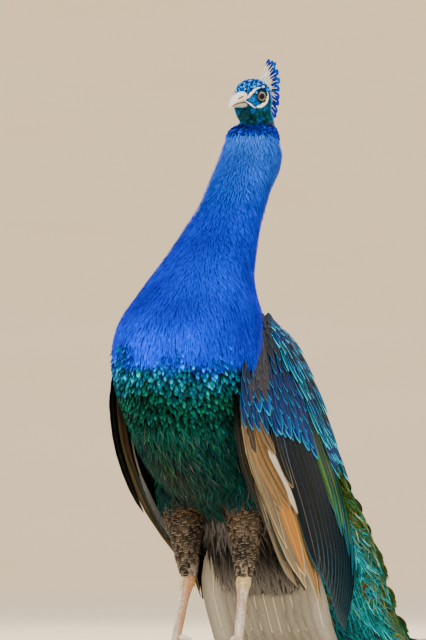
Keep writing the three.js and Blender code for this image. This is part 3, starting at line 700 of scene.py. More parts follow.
def feathers(name, points, flat, roots, tint, material, rim=None, patch=0.003):
    """One piece out of many vanes, with its colours, its vane coordinates and its unwrap."""
    count, rows, columns = points.shape[:3]
    one = ladder(rows, columns, closed=False)
    faces = (one[None] + (np.arange(count) * rows * columns)[:, None, None]).reshape(-1, 4)
    mesh = make_mesh(name, place(points.reshape(-1, 3)), [faces])
    shape = (count, rows, columns, 3)
    paint(mesh, "tint", np.broadcast_to(tint, shape).reshape(-1, 3))
    if rim is not None:
        paint(mesh, "rim", np.broadcast_to(rim, shape).reshape(-1, 3))
    spread = np.broadcast_to(flat, (count, rows, columns, 2))
    bake = np.clip(roots[:, None, None] + (spread - 0.5) * patch, 0, 1)
    for layer, values in (("OFBake", bake), ("vane", spread)):
        uv = mesh.uv_layers.new(name=layer)
        uv.data.foreach_set("uv", values.reshape(-1, 2)[faces.ravel()].astype(np.float32).ravel())
    made = show(name, mesh, material)
    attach(made, "root")
    return made


def scatter(zone, spacing, seed):
    """Places on the skin inside a zone, none nearer to another than the spacing."""
    centre = skin_points[skin_tris].mean(1)
    a, b, c = (skin_points[skin_tris[:, i]] for i in range(3))
    area = np.linalg.norm(np.cross(b - a, c - a), axis=1) / 2
    area = np.where(zone(centre), area, 0)
    turn = np.random.default_rng(seed)
    count = int(area.sum() / spacing**2 * 3.2)
    tri = np.searchsorted(np.cumsum(area) / area.sum(), turn.uniform(0, 1, count))
    u, v = turn.uniform(0, 1, (2, count))
    flip = u + v > 1
    u, v = np.where(flip, 1 - u, u), np.where(flip, 1 - v, v)
    weights = np.stack([1 - u - v, u, v], -1)
    at = np.einsum("ij,ijk->ik", weights, skin_points[skin_tris[tri]])
    cells, kept = {}, []
    keys = np.floor(at / spacing).astype(int)
    for i, (p, (kx, ky, kz)) in enumerate(zip(at.tolist(), keys.tolist())):
        clear = True
        for dx in (-1, 0, 1):
            for dy in (-1, 0, 1):
                for dz in (-1, 0, 1):
                    for q in cells.get((kx + dx, ky + dy, kz + dz), ()):
                        if (p[0] - q[0]) ** 2 + (p[1] - q[1]) ** 2 + (p[2] - q[2]) ** 2 < spacing**2:
                            clear = False
                            break
        if clear:
            cells.setdefault((kx, ky, kz), []).append(p)
            kept.append(i)
    return at[kept]


def lie(points):
    """Which way the plumage runs at bird points, before it is laid along the skin."""
    x, y, z = np.moveaxis(points, -1, 0)
    down = np.stack([0 * x, 0 * y, -np.ones_like(z)], -1)
    back = np.stack([0 * x, np.ones_like(y), -0.25 * np.ones_like(z)], -1)
    way = blend(down, back, ease(430, 250, z) * 0.75)
    rear = ease(40, 150, y) * ease(520, 440, z)
    way = blend(way, np.array([0, 0.85, -0.55]), rear)
    shin = (z < 262) & (np.abs(x) > 12) & (y < 82)
    way = np.where(shin[..., None], np.array([0, 0.12, -1.0]), way)
    head = bird_to_head(points)
    back_of_head = head_to_bird(
        np.stack([0.25 * np.sign(head[..., 0]), np.ones_like(z), -0.35 - 0.02 * head[..., 1]], -1), False
    )
    return blend(way, back_of_head, ease(776, 792, z))


def trace(starts, length, rows, raise_to, jitter=0.12, seed=5, droop=0.0):
    """Paths that follow the skin from each start, rising from it to the coat's surface."""
    turn = np.random.default_rng(seed)
    count = len(starts)
    length = np.broadcast_to(np.asarray(length, dtype=float), (count,))
    raise_to = np.broadcast_to(np.asarray(raise_to, dtype=float), (count,))
    sway = turn.normal(0, jitter, count)
    at, normal, uv = settle_on_skin(starts)
    path, normals, roots = [at], [normal], uv
    for _ in range(rows - 1):
        way = lie(at)
        way = unit(way - normal * np.einsum("ij,ij->i", way, normal)[:, None])
        way = way * np.cos(sway)[:, None] + np.cross(normal, way) * np.sin(sway)[:, None]
        at, normal, _ = settle_on_skin(at + way * (length / (rows - 1))[:, None])
        path.append(at)
        normals.append(normal)
    path, normals = np.stack(path, 1), np.stack(normals, 1)
    t = np.linspace(0, 1, rows)[None, :, None]
    high = raise_to * turn.uniform(0.82, 1.05, count)
    path = path + normals * (high[:, None, None] * (0.12 + 0.88 * t**0.8))
    path[..., 2] -= droop * (t[..., 0] ** 2) * length[:, None]
    return path, normals, roots


def taper(shape, half):
    """Half widths down feathers from a shape shared by all and one half width for each, or for all."""
    return np.asarray(half, dtype=float)[..., None] * np.asarray(shape, dtype=float)


def by_row(values):
    """Values for each row of points along every feather, and by_column for each column across it."""
    return np.asarray(values)[None, :, None, None]


def by_column(values):
    return np.asarray(values)[None, None, :, None]


def shades(base, spread, seed):
    """A small change of brightness for each feather."""
    return base * np.random.default_rng(seed).uniform(1 - spread, 1 + spread, (len(base), 1))


# ---------------------------------------------------------------- neck
# Fine, narrow, silky feathers in cobalt, thousands of them, that grow from the neck's skin and are laid down it
# from the collar to the breast. They gleam like blue metal.
silk = plumage("silky blue neck feathers", metal=0.75, rough=0.45, barb=0.3, lines=3, glance="#1C50F0")


def neck_zone(p):
    under_wings = (p[:, 1] > 110) & (p[:, 2] < 480)
    nape = (p[:, 2] < 812) & (bird_to_head(p)[:, 1] > 12)
    return (p[:, 2] > 432) & ((p[:, 2] < 769) | nape) & ~under_wings


neck_roots = clear_of_wings(scatter(neck_zone, 1.95, 21), 12, 4)
long = 10 + 4 * ease(700, 480, neck_roots[:, 2])
deep = smooth(COAT_DEPTH, neck_roots[:, 2])[:, 0]
path, normal, uv = trace(neck_roots, long, 4, deep * 0.95, seed=22)
half = taper([0.7, 1.0, 0.75, 0.06], 0.8 + 0.2 * ease(600, 440, neck_roots[:, 2]))
roll = np.random.default_rng(23).normal(0, 0.12, len(path))
points, flat = vanes(path, normal, half, columns=2, cup=0, roll=roll)
tone = shades(marking(path[:, 2]), 0.14, 24)
# Painted glints: from the top of the breast upwards, each tuft takes a random share of lighter blue.
tone = blend(tone, SHEEN_BLUE, np.random.default_rng(25).uniform(0, 0.12, len(tone)) * ease(470, 520, path[:, 2, 2]))
along = by_row(np.linspace(0.72, 1.12, 4))
feathers("neck_feathers", points, flat, uv, tone[:, None, None] * along, silk)

# ---------------------------------------------------------------- collar
# The cobalt starts in a ragged collar of short curled feathers under the dark throat, of the same silk as the
# neck's and rooted in the same skin.
collar_roots = scatter(lambda p: (np.abs(p[:, 2] - 771) < 7) & (p[:, 1] < 104), 2.4, 31)
path, normal, uv = trace(collar_roots, 8, 4, 4.2, jitter=0.5, seed=32)
points, flat = vanes(
    path, normal, taper([0.6, 1, 0.9, 0.2], 1.8), columns=3, cup=0.4, roll=random.normal(0, 0.5, len(path))
)
tone = shades(blend(colour("#001878"), COBALT, random.uniform(0, 0.8, len(path)) ** 1.5), 0.4, 33)
feathers("collar_feathers", points, flat, uv, tone[:, None, None] * along, silk)

# ---------------------------------------------------------------- breast
# Rounded scale-like feathers that turn from blue through teal to green, each dark at its root and bright at its
# end, that brightness partly a painted highlight, and some with painted glints. They are stiffer than the neck's, stand
# off the breast and overlap downwards.
scaly = plumage("green breast scales", metal=0.6, rough=0.42, barb=0.35, rim_width=0.16, lines=5, glance="#1C8C9C")


def trunk_zone(p):
    shin = (p[:, 2] < 250) & (np.abs(p[:, 0]) > 14) & (p[:, 1] < 76)
    return ~shin


breast_roots = scatter(lambda p: (p[:, 2] > 318) & (p[:, 2] < 470) & (p[:, 1] < 90), 3.9, 41)
breast_roots = clear_of_wings(
    breast_roots[
        breast_roots[:, 2] + random.normal(0, 6, len(breast_roots))
        < 446 - 0.11 * (breast_roots[:, 0] + 60) + 14 * ripple(breast_roots, 26, 44)
    ],
    12, 6
)
path, normal, uv = trace(breast_roots, 11, 5, 7.4, jitter=0.3, seed=42)
half = taper([0.5, 0.9, 1, 0.95, 0.45], 2.4 + random.normal(0, 0.5, len(path)).clip(-0.9, 1.2))
points, flat = vanes(path, normal, half, columns=3, cup=0.35, roll=random.normal(0, 0.35, len(path)))
tone = marking(path[:, 3])
# Painted glints: a share of the scales is mixed towards bright blue, green or teal, and every scale gets a random
# brightness.
pick = random.uniform(0, 1, len(path))
low = ease(420, 380, path[:, 0, 2])[:, None]
bright = np.where(
    pick[:, None] < 0.5 - 0.3 * low, colour("#0A8CC4"),
    np.where(pick[:, None] < 0.75, colour("#1C9A4A"), colour("#0C9C78"))
)
glint_share = np.clip(0.5 + 0.6 * ripple(path[:, 0], 16, 45), 0, 1) * random.uniform(0, 1, len(path)) ** 1.6
tone = blend(tone, bright, 0.75 * glint_share * (1 - 0.5 * low[:, 0])) * (0.9 - 0.3 * low) * (
    0.3 + 1.1 * random.uniform(0, 1, (len(path), 1)) ** 1.3
)
along = by_row([0.06, 0.18, 0.6, 1.15, 1.3])
feathers(
    "breast_scales", points, flat, uv, shades(tone, 0.45, 43)[:, None, None] * along, scaly,
    rim=(tone * 0.5)[:, None, None] * along
)

# ---------------------------------------------------------------- belly
# Longer, looser, darker feathers that hang in strands between the legs and along the flanks. Their barbs don't
# hook together, so they read as hair and gleam little.
loose = plumage("dark green belly strands", metal=0.3, rough=0.5, barb=0.4, lines=4, glance="#3C8C8C")
belly_roots = clear_of_wings(
    scatter(lambda p: (p[:, 2] < 352) & (p[:, 2] > 205) & (p[:, 1] < 110) & trunk_zone(p), 3.0, 51), 22, 7
)
path, normal, uv = trace(belly_roots, 24, 5, 8.5, jitter=0.28, seed=52, droop=0.12)
points, flat = vanes(
    path, normal, taper([0.7, 1, 0.85, 0.55, 0.05], random.uniform(0.7, 1.6, len(path))), columns=2, cup=0,
    roll=random.normal(0, 0.4, len(path))
)
tone = marking(path[:, 3])
strand = random.uniform(0, 1, len(path))
tone = blend(tone, colour("#2F7A44"), (strand > 0.93) * 0.7 * ease(250, 300, path[:, 0, 2]))
tone = blend(tone, colour("#0A6A58"), ((strand > 0.7) & (strand < 0.85)) * 0.5)
tone = blend(tone, colour("#625E62"), (strand < 0.05) * 0.6)
along = by_row([0.3, 0.55, 0.85, 1.1, 1.3])
feathers("belly_feathers", points, flat, uv, shades(tone * 0.7, 0.4, 53)[:, None, None] * along, loose)

# ---------------------------------------------------------------- back
# Broad, stiff feathers over the back and rump, laid like tiles: golden green with a bronze gloss and a black
# edge. The folded wings and the root of the train cover most of them.
mantle = plumage("bronze green back scales", metal=0.4, rough=0.38, barb=0.3, rim_width=0.3, lines=8)
back_roots = scatter(
    lambda p: (p[:, 1] > 60) & (p[:, 2] > 230) & (p[:, 2] < 500) & (p[:, 1] > 60 + 0.6 * (p[:, 2] - 470)), 7.5, 61
)
back_roots = clear_of_wings(back_roots, 20, 6)
path, normal, uv = trace(back_roots, 22, 5, 8.0, jitter=0.1, seed=62)
half = taper([0.5, 0.85, 1, 0.9, 0.35], 6.4 + random.normal(0, 0.4, len(path)))
points, flat = vanes(path, normal, half, columns=5, cup=0.3)
tone = blend(colour("#1E7A4C"), colour("#7A6A22"), random.uniform(0, 0.5, len(path)))
tone = blend(tone, TEAL, ease(440, 480, path[:, 0, 2]))
along = by_row([0.3, 0.5, 0.8, 1.1, 1.2])
feathers(
    "back_scales", points, flat, uv, shades(tone, 0.2, 63)[:, None, None] * along, mantle,
    rim=BLACK_BROWN
)

# ---------------------------------------------------------------- head
# Tiny curled feathers: scaly and glinting on the crown, short and close on cheeks and throat.
# The white skin and the eyelids are left bare.
crown_stuff = plumage("scaly crown feathers", metal=0.5, rough=0.32, barb=0.3, lines=2, glance="#4CA8E8")


def feathered_face(p):
    flank = bird_to_head(p, one_side=True)
    clear = (bare_skin(p) > 0.7) & (np.linalg.norm(flank - pole, axis=1) > 8.4)
    return clear & (p[:, 2] > 770) & (flank[:, 1] > -31.5)


head_roots = scatter(feathered_face, 1.35, 71)
local = bird_to_head(head_roots)
head_roots = head_roots[(local[:, 1] < 16) | (local[:, 2] > -8)]
local = bird_to_head(head_roots)
crown = ease(2, 12, local[:, 2])
path, normal, uv = trace(head_roots, 2.9 + 0.9 * crown, 3, 1.3 + 0.5 * crown, jitter=0.25, seed=72)
points, flat = vanes(
    path, normal, taper([0.7, 1, 0.35], 0.75 + 0.5 * crown), columns=3, cup=0.3,
    roll=random.normal(0, 0.35, len(path))
)
tone = shades(marking(path[:, 1]), 0.4, 73)
# Painted light on the crown: dark navy in the hollows of a fine ripple as painted shade between the feathers, bright
# blue on its crests and white on a few feathers there as painted glints; none of it in the dark patch round the eye.
spots = ripple(path[:, 1], 2.0, 74)
crown = crown * (1 - eye_shade(path[:, 1]))
tone = blend(tone, colour("#02102C"), ease(0.12, -0.3, spots) * crown * 0.9)
tone = blend(tone, colour("#1888F4"), ease(0.15, 0.55, spots) * crown * 0.9)
tone = blend(tone, colour("#C8F0FF"), (random.uniform(0, 1, len(path)) < 0.09) * crown * ease(0.2, 0.5, spots) * 0.9)
along = by_row([0.4, 0.9, 1.3])
feathers("head_feathers", points, flat, uv, tone[:, None, None] * along, crown_stuff)

# ---------------------------------------------------------------- shins
# Short, flat, dull feathers round each shin, from the flank to the heel. Each is brown with a pale edge, so that
# the rows read as fine bars.
barred = plumage("barred shin feathers", metal=0.0, rough=0.6, barb=0.35, rim_width=0.26, rim_sides=0.25, lines=4)
shin_roots = []
for side in SIDES.values():
    for row, share in enumerate(np.linspace(0.03, 0.94, 33)):
        count = int(34 - 17 * share)
        around = (np.arange(count) + 0.5 * (row % 2)) / count * 2 * math.pi
        shin_roots.append(shin_ring(side, share, around, 4))
shin_roots = np.concatenate(shin_roots)
shin_roots = shin_roots[shin_roots[:, 2] < 262] + random.normal(0, 1.6, (int((shin_roots[:, 2] < 262).sum()), 3))
path, normal, uv = trace(shin_roots, 9, 4, 4.6, jitter=0.2, seed=82)
points, flat = vanes(path, normal, taper([0.7, 1, 1.0, 0.62], 4.2 - 0.014 * (262 - path[:, 0, 2])), columns=3, cup=0.3)
tone = blend(
    colour("#191514"), colour("#473B31"),
    np.clip(0.5 + 0.5 * ripple(path[:, 1], 9, 85) + random.uniform(-0.4, 0.4, len(path)), 0, 1)
)
tone = blend(tone, DARK_GREEN, ease(236, 262, path[:, 0, 2]) * 0.8)
along = by_row([0.5, 0.8, 1, 1.1])
pale = blend(colour("#8C826C"), DARK_GREEN, ease(232, 256, path[:, 0, 2]))
chalky = (random.uniform(0, 1, len(path)) < 0.5) * ease(176, 152, path[:, 0, 2]) * ease(52, 40, path[:, 0, 1])
tone = blend(tone, colour("#8E8078"), chalky * 0.7)
pale = blend(pale, colour("#8A5A34"), ease(214, 236, path[:, 0, 2]) * 0.5)
feathers(
    "shin_feathers", points, flat, uv, shades(tone, 0.3, 83)[:, None, None] * along, barred,
    rim=shades(pale, 0.5, 84)[:, None, None]
)

# ---------------------------------------------------------------- vent down
# Long soft strands with no gloss, grey-brown between the legs and nearly black in front of the tail. They hang
# from the skin behind the legs and under the root of the tail.
fluff = plumage("soft vent down", metal=0.0, rough=0.8, barb=0.3, lines=2)
vent_roots = scatter(lambda p: (p[:, 2] < 262) & (p[:, 1] > 40) & trunk_zone(p), 3.6, 91)
path, normal, uv = trace(vent_roots, random.uniform(24, 44, len(vent_roots)), 6, 12, jitter=0.35, seed=92, droop=0.35)
points, flat = vanes(
    path, normal, taper([0.8, 1, 0.9, 0.7, 0.45, 0.05], 1.7), columns=2, cup=0, roll=random.normal(0, 0.5, len(path))
)
front = ease(110, 70, path[:, 0, 1]) * ease(190, 215, path[:, 0, 2])
tone = blend(colour("#161416"), colour("#5E5C64"), np.clip(front + random.uniform(-0.3, 0.3, len(path)), 0, 1))
hair = ease(168, 118, path[..., 2])[..., None, None] * 0.75
strands = blend(
    (shades(tone, 0.3, 93)[:, None, None] * by_row(np.linspace(0.6, 1.6, 6)))[:, :, 0], colour("#7E7B7E"),
    hair[:, :, 0, 0]
)
feathers("vent_down", points, flat, uv, strands[:, :, None], fluff)

# ---------------------------------------------------------------- eyes and lids
# A glossy, wet ball with a pale brown iris and a black pupil, seated in the socket and held by a lid of dark,
# creased skin that runs out under the feathers.
def set_stops(elements, stops):
    """Fills a colour ramp from pairs of a place and a colour."""
    while len(elements) < len(stops):
        elements.new(0.5)
    for element, (at, code) in zip(elements, stops):
        element.position = at
        element.color = rgba(code)


eye_stuff, shader = new_material("wet eye")
uv = add(eye_stuff, "UVMap", uv_map="vane")
parts = add(eye_stuff, "SeparateXYZ", {"Vector": uv})
streak = add(eye_stuff, "TexNoise", {"Vector": uv, "Scale": 55.0, "Detail": 2.0})
wobble = add(eye_stuff, "Math", {0: streak, 1: 0.012, 2: parts.outputs[1]}, operation="MULTIPLY_ADD")
ramp = add(eye_stuff, "ValToRGB", {"Fac": wobble})
stops = [
    (0.0, "#040303"), (0.15, "#020202"), (0.165, "#2A2018"), (0.2, "#5E4E3E"), (0.24, "#7E7264"), (0.31, "#A8A094"),
    (0.345, "#4A3E34"), (0.36, "#080706")
]
set_stops(ramp.color_ramp.elements, stops)
settle(eye_stuff, shader, {"Base Color": ramp, "Roughness": 0.12, "Specular IOR Level": 0.12})
lid_stuff, shader = new_material("dark eyelid skin")
creases = add(lid_stuff, "TexNoise", {"Scale": 700.0, "Detail": 4.0})
lid_tone = add(lid_stuff, "MixRGB", {"Fac": creases, "Color1": rgba("#071A20"), "Color2": rgba("#1E3B42")})
lid_bump = add(lid_stuff, "Bump", {"Strength": 0.5, "Distance": 0.0004, "Height": creases})
settle(lid_stuff, shader, {"Base Color": lid_tone, "Roughness": 0.4, "Normal": lid_bump})

for name, side in SIDES.items():
    mirror = np.array([side, 1, 1])
    axis, middle = GAZE * mirror, EYE_AT * mirror
    level = unit(np.cross(axis, (0, 0, 1)))
    upright = np.cross(level, axis)
    dips = np.linspace(0.001, math.pi * 0.8, 30)
    spins = circle(40)
    bulge = EYE_RADIUS + 0.45 * np.exp(-((dips / 0.62) ** 4))
    around = np.cos(spins)[:, None] * level + np.sin(spins)[:, None] * upright
    rings = middle + bulge[:, None, None] * (np.cos(dips)[:, None, None] * axis + np.sin(dips)[:, None, None] * around)
    points, faces = tube(head_to_bird(rings))
    if side < 0:
        faces = [f[:, ::-1] for f in faces]
    mesh = make_mesh(f"eye_{name}_ball", place(points), [f[:, ::-1] for f in faces])
    values = np.concatenate(
        [np.stack(np.meshgrid(spins / 6.283, dips / math.pi), -1).reshape(-1, 2), [[0, 0], [0, 0.8]]]
    )
    corners = np.empty(len(mesh.loops), dtype=np.int32)
    mesh.loops.foreach_get("vertex_index", corners)
    layer = mesh.uv_layers.new(name="vane")
    layer.data.foreach_set("uv", values[corners].astype(np.float32).ravel())
    ball = show(f"eye_{name}_ball", mesh, eye_stuff)
    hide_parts(f"eye_{name}")
    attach(ball, "root")

    # The lid: an almond opening, a rounded rim, and a fold that runs out under the feathers.
    opening = np.radians(67 - 12 * np.sin(spins) ** 2 - 2 * (np.sin(spins) > 0) * np.sin(spins))
    edge = middle + (EYE_RADIUS + 0.3) * (np.cos(opening)[:, None] * axis + np.sin(opening)[:, None] * around)
    wide = opening + 0.13
    crest_line = middle + (EYE_RADIUS + 1.15) * (np.cos(wide)[:, None] * axis + np.sin(wide)[:, None] * around)
    far = middle + (EYE_RADIUS + 0.2) * (np.cos(1.4) * axis + np.sin(1.4) * around)
    on_skin, away, _ = settle_on_skin(head_to_bird(far))
    on_skin = bird_to_head(on_skin - away * 0.3)
    rows = [edge - axis * 1.2, edge, edge * 0.45 + crest_line * 0.55 + axis * 0.25, crest_line]
    rows += [
        crest_line * 0.6 + on_skin * 0.4 + axis * 0.35, crest_line * 0.25 + on_skin * 0.75, on_skin,
        on_skin - axis * 1.5
    ]
    mesh = make_mesh(f"eyelid_{name}", place(head_to_bird(np.array(rows)).reshape(-1, 3)), [ladder(len(rows), 40)])
    lid = show(f"eyelid_{name}", mesh, lid_stuff)
    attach(lid, "root")

# ---------------------------------------------------------------- bill
# Smooth horn, pinkish white, grown over the two jaws: a hooked upper half with a nostril slit under a flap on
# each side, and a straight lower half. It is a little see-through at its edges and softly glossy.
UPPER_BILL = [
    (-22, 9, -2.6, 12.8), (-24, 9, -2.6, 12.8), (-32, 9, -2.4, 12.4), (-41, 8.2, -2.4, 11),
    (-50, 6.8, -2.8, 8), (-58, 4.8, -3.8, 3.4), (-64, 2.7, -5.6, -1.4), (-68, 1, -8.6, -6),
]
LOWER_BILL = [
    (-22, 3.0, -9.4, -7.4), (-26, 6.4, -10.2, -4.8), (-33, 7.6, -10.2, -3), (-43, 6.4, -8.8, -3),
    (-53, 4.2, -7.4, -3.6), (-60, 1.6, -6.6, -5),
]
horn, shader = new_material("pale bill horn")
tint = add(horn, "Attribute", attribute_name="tint")
grain = add(horn, "TexNoise", {"Scale": 320.0, "Detail": 3.0, "Distortion": 0.6})
worn = add(horn, "MapRange", {"Value": grain, 3: 0.86, 4: 1.1})
toned = add(horn, "VectorMath", {0: tint, "Scale": worn}, operation="SCALE")
scratch = add(horn, "Bump", {"Strength": 0.15, "Distance": 0.0004, "Height": grain})
settle(
    horn, shader,
    {"Base Color": toned, "Roughness": 0.34, "Normal": scratch, "Subsurface Weight": 0.08, "Subsurface Scale": 0.002}
)
NOSTRIL = [(6.1, -51, 3.6, 0.4), (7.1, -47.2, 4.4, 0.9), (7.9, -42.5, 5.6, 1.0), (8.3, -39.0, 6.0, 0.6)]
bill_angles = circle(48)
for name, rows, end in (("bill_upper", UPPER_BILL, -68), ("bill_lower", LOWER_BILL, -60)):
    rings = section_rings(rows, np.linspace(-22, end, 60), bill_angles, squareness=0.85)
    flat = rings.reshape(-1, 3)
    one_side = np.stack([np.abs(flat[:, 0]), flat[:, 1], flat[:, 2]], -1)
    slit = near_line(one_side, NOSTRIL) if name == "bill_upper" else np.full(len(flat), 9.0)
    middle = flat * (0, 1, 0) + (0, 0, 1.5)
    inward = unit(middle - flat)
    flat = flat + inward * (1.5 * np.exp(-np.clip(slit + 0.6, 0, 9) ** 2 / 0.7))[:, None]
    tone = blend(colour("#E4D8CB"), colour("#D9BFB4"), ease(-34, -26, flat[:, 1]) * 0.7)
    tone = blend(tone, colour("#C9BCA6"), ease(-54, -66, flat[:, 1]) * 0.6)
    # The lower bill is olive-beige, most of all along its top: partly its own colour, partly painted shade under the
    # upper bill.
    if name == "bill_lower":
        tone = blend(tone, colour("#A39674"), 0.45 + 0.45 * ease(-8.4, -5.6, flat[:, 2]))
    else:
        tone = blend(tone, colour("#B5A078"), ease(-0.6, -2.4, flat[:, 2]) * ease(-62, -52, flat[:, 1]) * 0.7)
    tone = blend(tone, colour("#5A2418"), np.exp(-np.clip(slit + 0.3, 0, 9) ** 2 / 0.5))
    points, faces = tube(head_to_bird(flat.reshape(rings.shape)))
    mesh = make_mesh(name + "_horn", place(points), faces)
    paint(mesh, "tint", np.concatenate([tone, tone[:1], tone[-1:]]))
    piece = show(name + "_horn", mesh, horn)
    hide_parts(name)
    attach(piece, "root")

# ---------------------------------------------------------------- crest
# A fan of bare pale shafts with a few short barbs, each ending in a small blue paddle. The shafts are dull white
# keratin rods that grow in three close rows from the back of the crown.
CREST_COUNT = 28


def rods(paths, radius, sides=4):
    """Thin tapering rods along paths: their points and faces together."""
    along = unit(np.gradient(paths, axis=1))
    side = unit(np.cross(along, np.array([0.31, 0.17, 0.93])))
    up = np.cross(along, side)
    a = by_column(circle(sides))
    size = np.broadcast_to(radius, paths.shape[:2])[..., None, None]
    points = paths[:, :, None] + size * (side[:, :, None] * np.cos(a) + up[:, :, None] * np.sin(a))
    count, rows = paths.shape[:2]
    one = ladder(rows, sides)
    faces = (one[None] + (np.arange(count) * rows * sides)[:, None, None]).reshape(-1, 4)
    return points.reshape(-1, 3), faces


def shaft_piece(name, paths, radius, tone, material, sides=4):
    """One piece out of many thin rods of one colour."""
    points, faces = rods(paths, radius, sides)
    mesh = make_mesh(name, place(points), [faces])
    paint(mesh, "tint", np.broadcast_to(tone, points.shape))
    made = show(name, mesh, material)
    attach(made, "root")
    return made


quill, shader = new_material("feather shaft")
tint = add(quill, "Attribute", attribute_name="tint")
grain = add(quill, "TexNoise", {"Scale": 500.0, "Detail": 2.0})
worn = add(quill, "MapRange", {"Value": grain, 3: 0.8, 4: 1.1})
toned = add(quill, "VectorMath", {0: tint, "Scale": worn}, operation="SCALE")
settle(quill, shader, {"Base Color": toned, "Roughness": 0.4})

i = np.arange(CREST_COUNT)
share = i / (CREST_COUNT - 1)
angle = np.radians(48 - 100 * share + random.normal(0, 0.8, CREST_COUNT))
length = 56 - 14 * ease(0.0, 1.0, share) + random.normal(0, 0.7, CREST_COUNT)
splay = ((i % 3) - 1) * 2.2 + random.normal(0, 0.4, CREST_COUNT)
root = np.stack([((i % 3) - 1) * 1.2, np.full(CREST_COUNT, 20.0), 15 - 20 * share], -1)
t = np.linspace(0, 1, 8)[None, :]
bend = np.radians(8) * t**2
crest_path = np.stack([
    root[:, :1] + splay[:, None] * t**1.3,
    root[:, 1:2] + length[:, None] * t * np.cos(angle[:, None] - bend),
    root[:, 2:] + length[:, None] * t * np.sin(angle[:, None] - bend),
], -1)
crest_path = head_to_bird(crest_path)
crest = shaft_piece("crest_shafts", crest_path[:, :7], 0.72 - 0.3 * t[:, :7], colour("#F2EEE8"), quill)
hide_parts("crest")
sideways = head_to_bird(np.array([[1.0, 0, 0]]), False)[0]
tip_path = crest_path[:, 5:8]
tip_path = np.concatenate(
    [
        tip_path[:, :1], tip_path[:, :1] * 0.5 + tip_path[:, 1:2] * 0.5, tip_path[:, 1:2],
        tip_path[:, 1:2] * 0.4 + tip_path[:, 2:] * 0.6, tip_path[:, 2:]
    ],
    1
)
normal = np.broadcast_to(sideways, tip_path.shape) + random.normal(0, 0.15, (CREST_COUNT, 1, 3))
points, flat = vanes(
    tip_path, unit(normal), taper([0.4, 0.8, 1.0, 1.0, 0.5], 5.0 - 1.4 * ease(0.25, 0.0, share)), columns=5, cup=0.05
)
tone = blend(colour("#0A2CB8"), colour("#1466C8"), random.uniform(0, 1, CREST_COUNT) ** 2)
spot = np.stack([0.05 + 0.035 * i, np.full(CREST_COUNT, 0.5)], -1)
along = by_row([0.35, 0.6, 0.95, 1.15, 1.1])
feathers(
    "crest_paddles", points, flat, spot, shades(tone, 0.2, 101)[:, None, None] * along, silk,
    patch=0.03
)
# Short loose barbs stand off each shaft, dark at the root of the fan.
many = np.repeat(np.arange(CREST_COUNT), 26)
step = np.tile(np.linspace(0.1, 0.86, 26), CREST_COUNT) * 7
low = step.astype(int)
base = crest_path[many, low] + (
    crest_path[many, np.minimum(low + 1, 7)] - crest_path[many, low]
) * (step - low)[:, None]
ahead = unit(crest_path[many, np.minimum(low + 1, 7)] - crest_path[many, low])
off = unit(random.normal(size=base.shape) * (1, 0.5, 0.5))
t = np.linspace(0, 1, 3)[None, :, None]
barb_path = base[:, None] + (
    ahead[:, None] * 0.75 + off[:, None] * 0.45 * t
) * t * random.uniform(3, 6, (len(base), 1, 1))
points, flat = vanes(
    barb_path, np.broadcast_to(unit(np.cross(ahead, off))[:, None], barb_path.shape), taper([1, 0.8, 0.2], 0.42),
    columns=2, cup=0
)
tone = blend(
    colour("#5C5A84"), colour("#0E2488"), np.clip(ease(2, 5.5, step) + random.uniform(-0.3, 0.3, len(base)), 0, 1)
)
spot = np.stack([0.05 + 0.035 * many, 0.02 + step * 0.05], -1)
feathers("crest_barbs", points, flat, spot, tone[:, None, None], silk)

# ---------------------------------------------------------------- gape folds
# A thin fold of bare white skin at each corner of the mouth. It grows out of the face behind the bill, runs
# back under the cheek and stands a little off the feathers.
fold = np.array([point[:3] for point in GAPE_FOLD])
fold = spline(np.concatenate([[(8.0, -38, -1.6)], fold, [(16.6, -25.6, -12.4)]]), np.linspace(0, 1, 14))
folds = np.stack([head_to_bird(fold * (side, 1, 1) + (0.9 * side, -0.5, 0)) for side in SIDES.values()])
fold_size = np.interp(np.linspace(0, 1, 14), [0, 0.2, 0.6, 1], [0.4, 0.75, 0.9, 0.35])
shaft_piece("gape_folds", folds, fold_size[None, :], BARE_WHITE, horn, 8)


# ---------------------------------------------------------------- wings
# Each folded wing is a thin dark web, painted shade for the gaps between feathers, with rows of single feathers laid
# down it like slates: long quills lowest and furthest back, then the coverts row by row up to the shoulder, and the
# scapulars over them all.
def wing_row(name, roots, tips, low, high, rows):
    """Paths and normals of feathers on a wing from root (u, v) to tip (u, v), rising from low to high."""
    t = np.linspace(0, 1, rows)[None, :, None]
    uv = roots[:, None] + (tips - roots)[:, None] * t
    normal = wing_normal(name, uv[..., 0], uv[..., 1])
    low, high = (np.broadcast_to(end, len(roots))[:, None] for end in (low, high))
    rise = low + (high - low) * t[..., 0]
    return wing_point(name, uv[..., 0], uv[..., 1]) + normal * rise[..., None], normal


def pairs(u, v):
    return np.stack(np.broadcast_arrays(np.asarray(u, dtype=float), np.asarray(v, dtype=float)), -1)


def row_of_spots(first, step, count, height):
    """Places on the unwrap for a row of big feathers."""
    return np.stack([first + step * np.arange(count), np.full(count, height)], -1)


NARROW = [0.45, 0.7, 0.88, 0.97, 1, 1, 0.98, 0.93, 0.8, 0.5, 0.08]
ROUND = [0.5, 0.8, 0.97, 1, 0.93, 0.7, 0.28]
def mottled(name, dark, light, rough, noise):
    """A stuff of two tones, mixed by noise."""
    made, shader = new_material(name)
    grain = add(made, "TexNoise", noise)
    tone = add(made, "MixRGB", {"Fac": grain, "Color1": rgba(dark), "Color2": rgba(light)})
    settle(made, shader, {"Base Color": tone, "Roughness": rough})
    return made


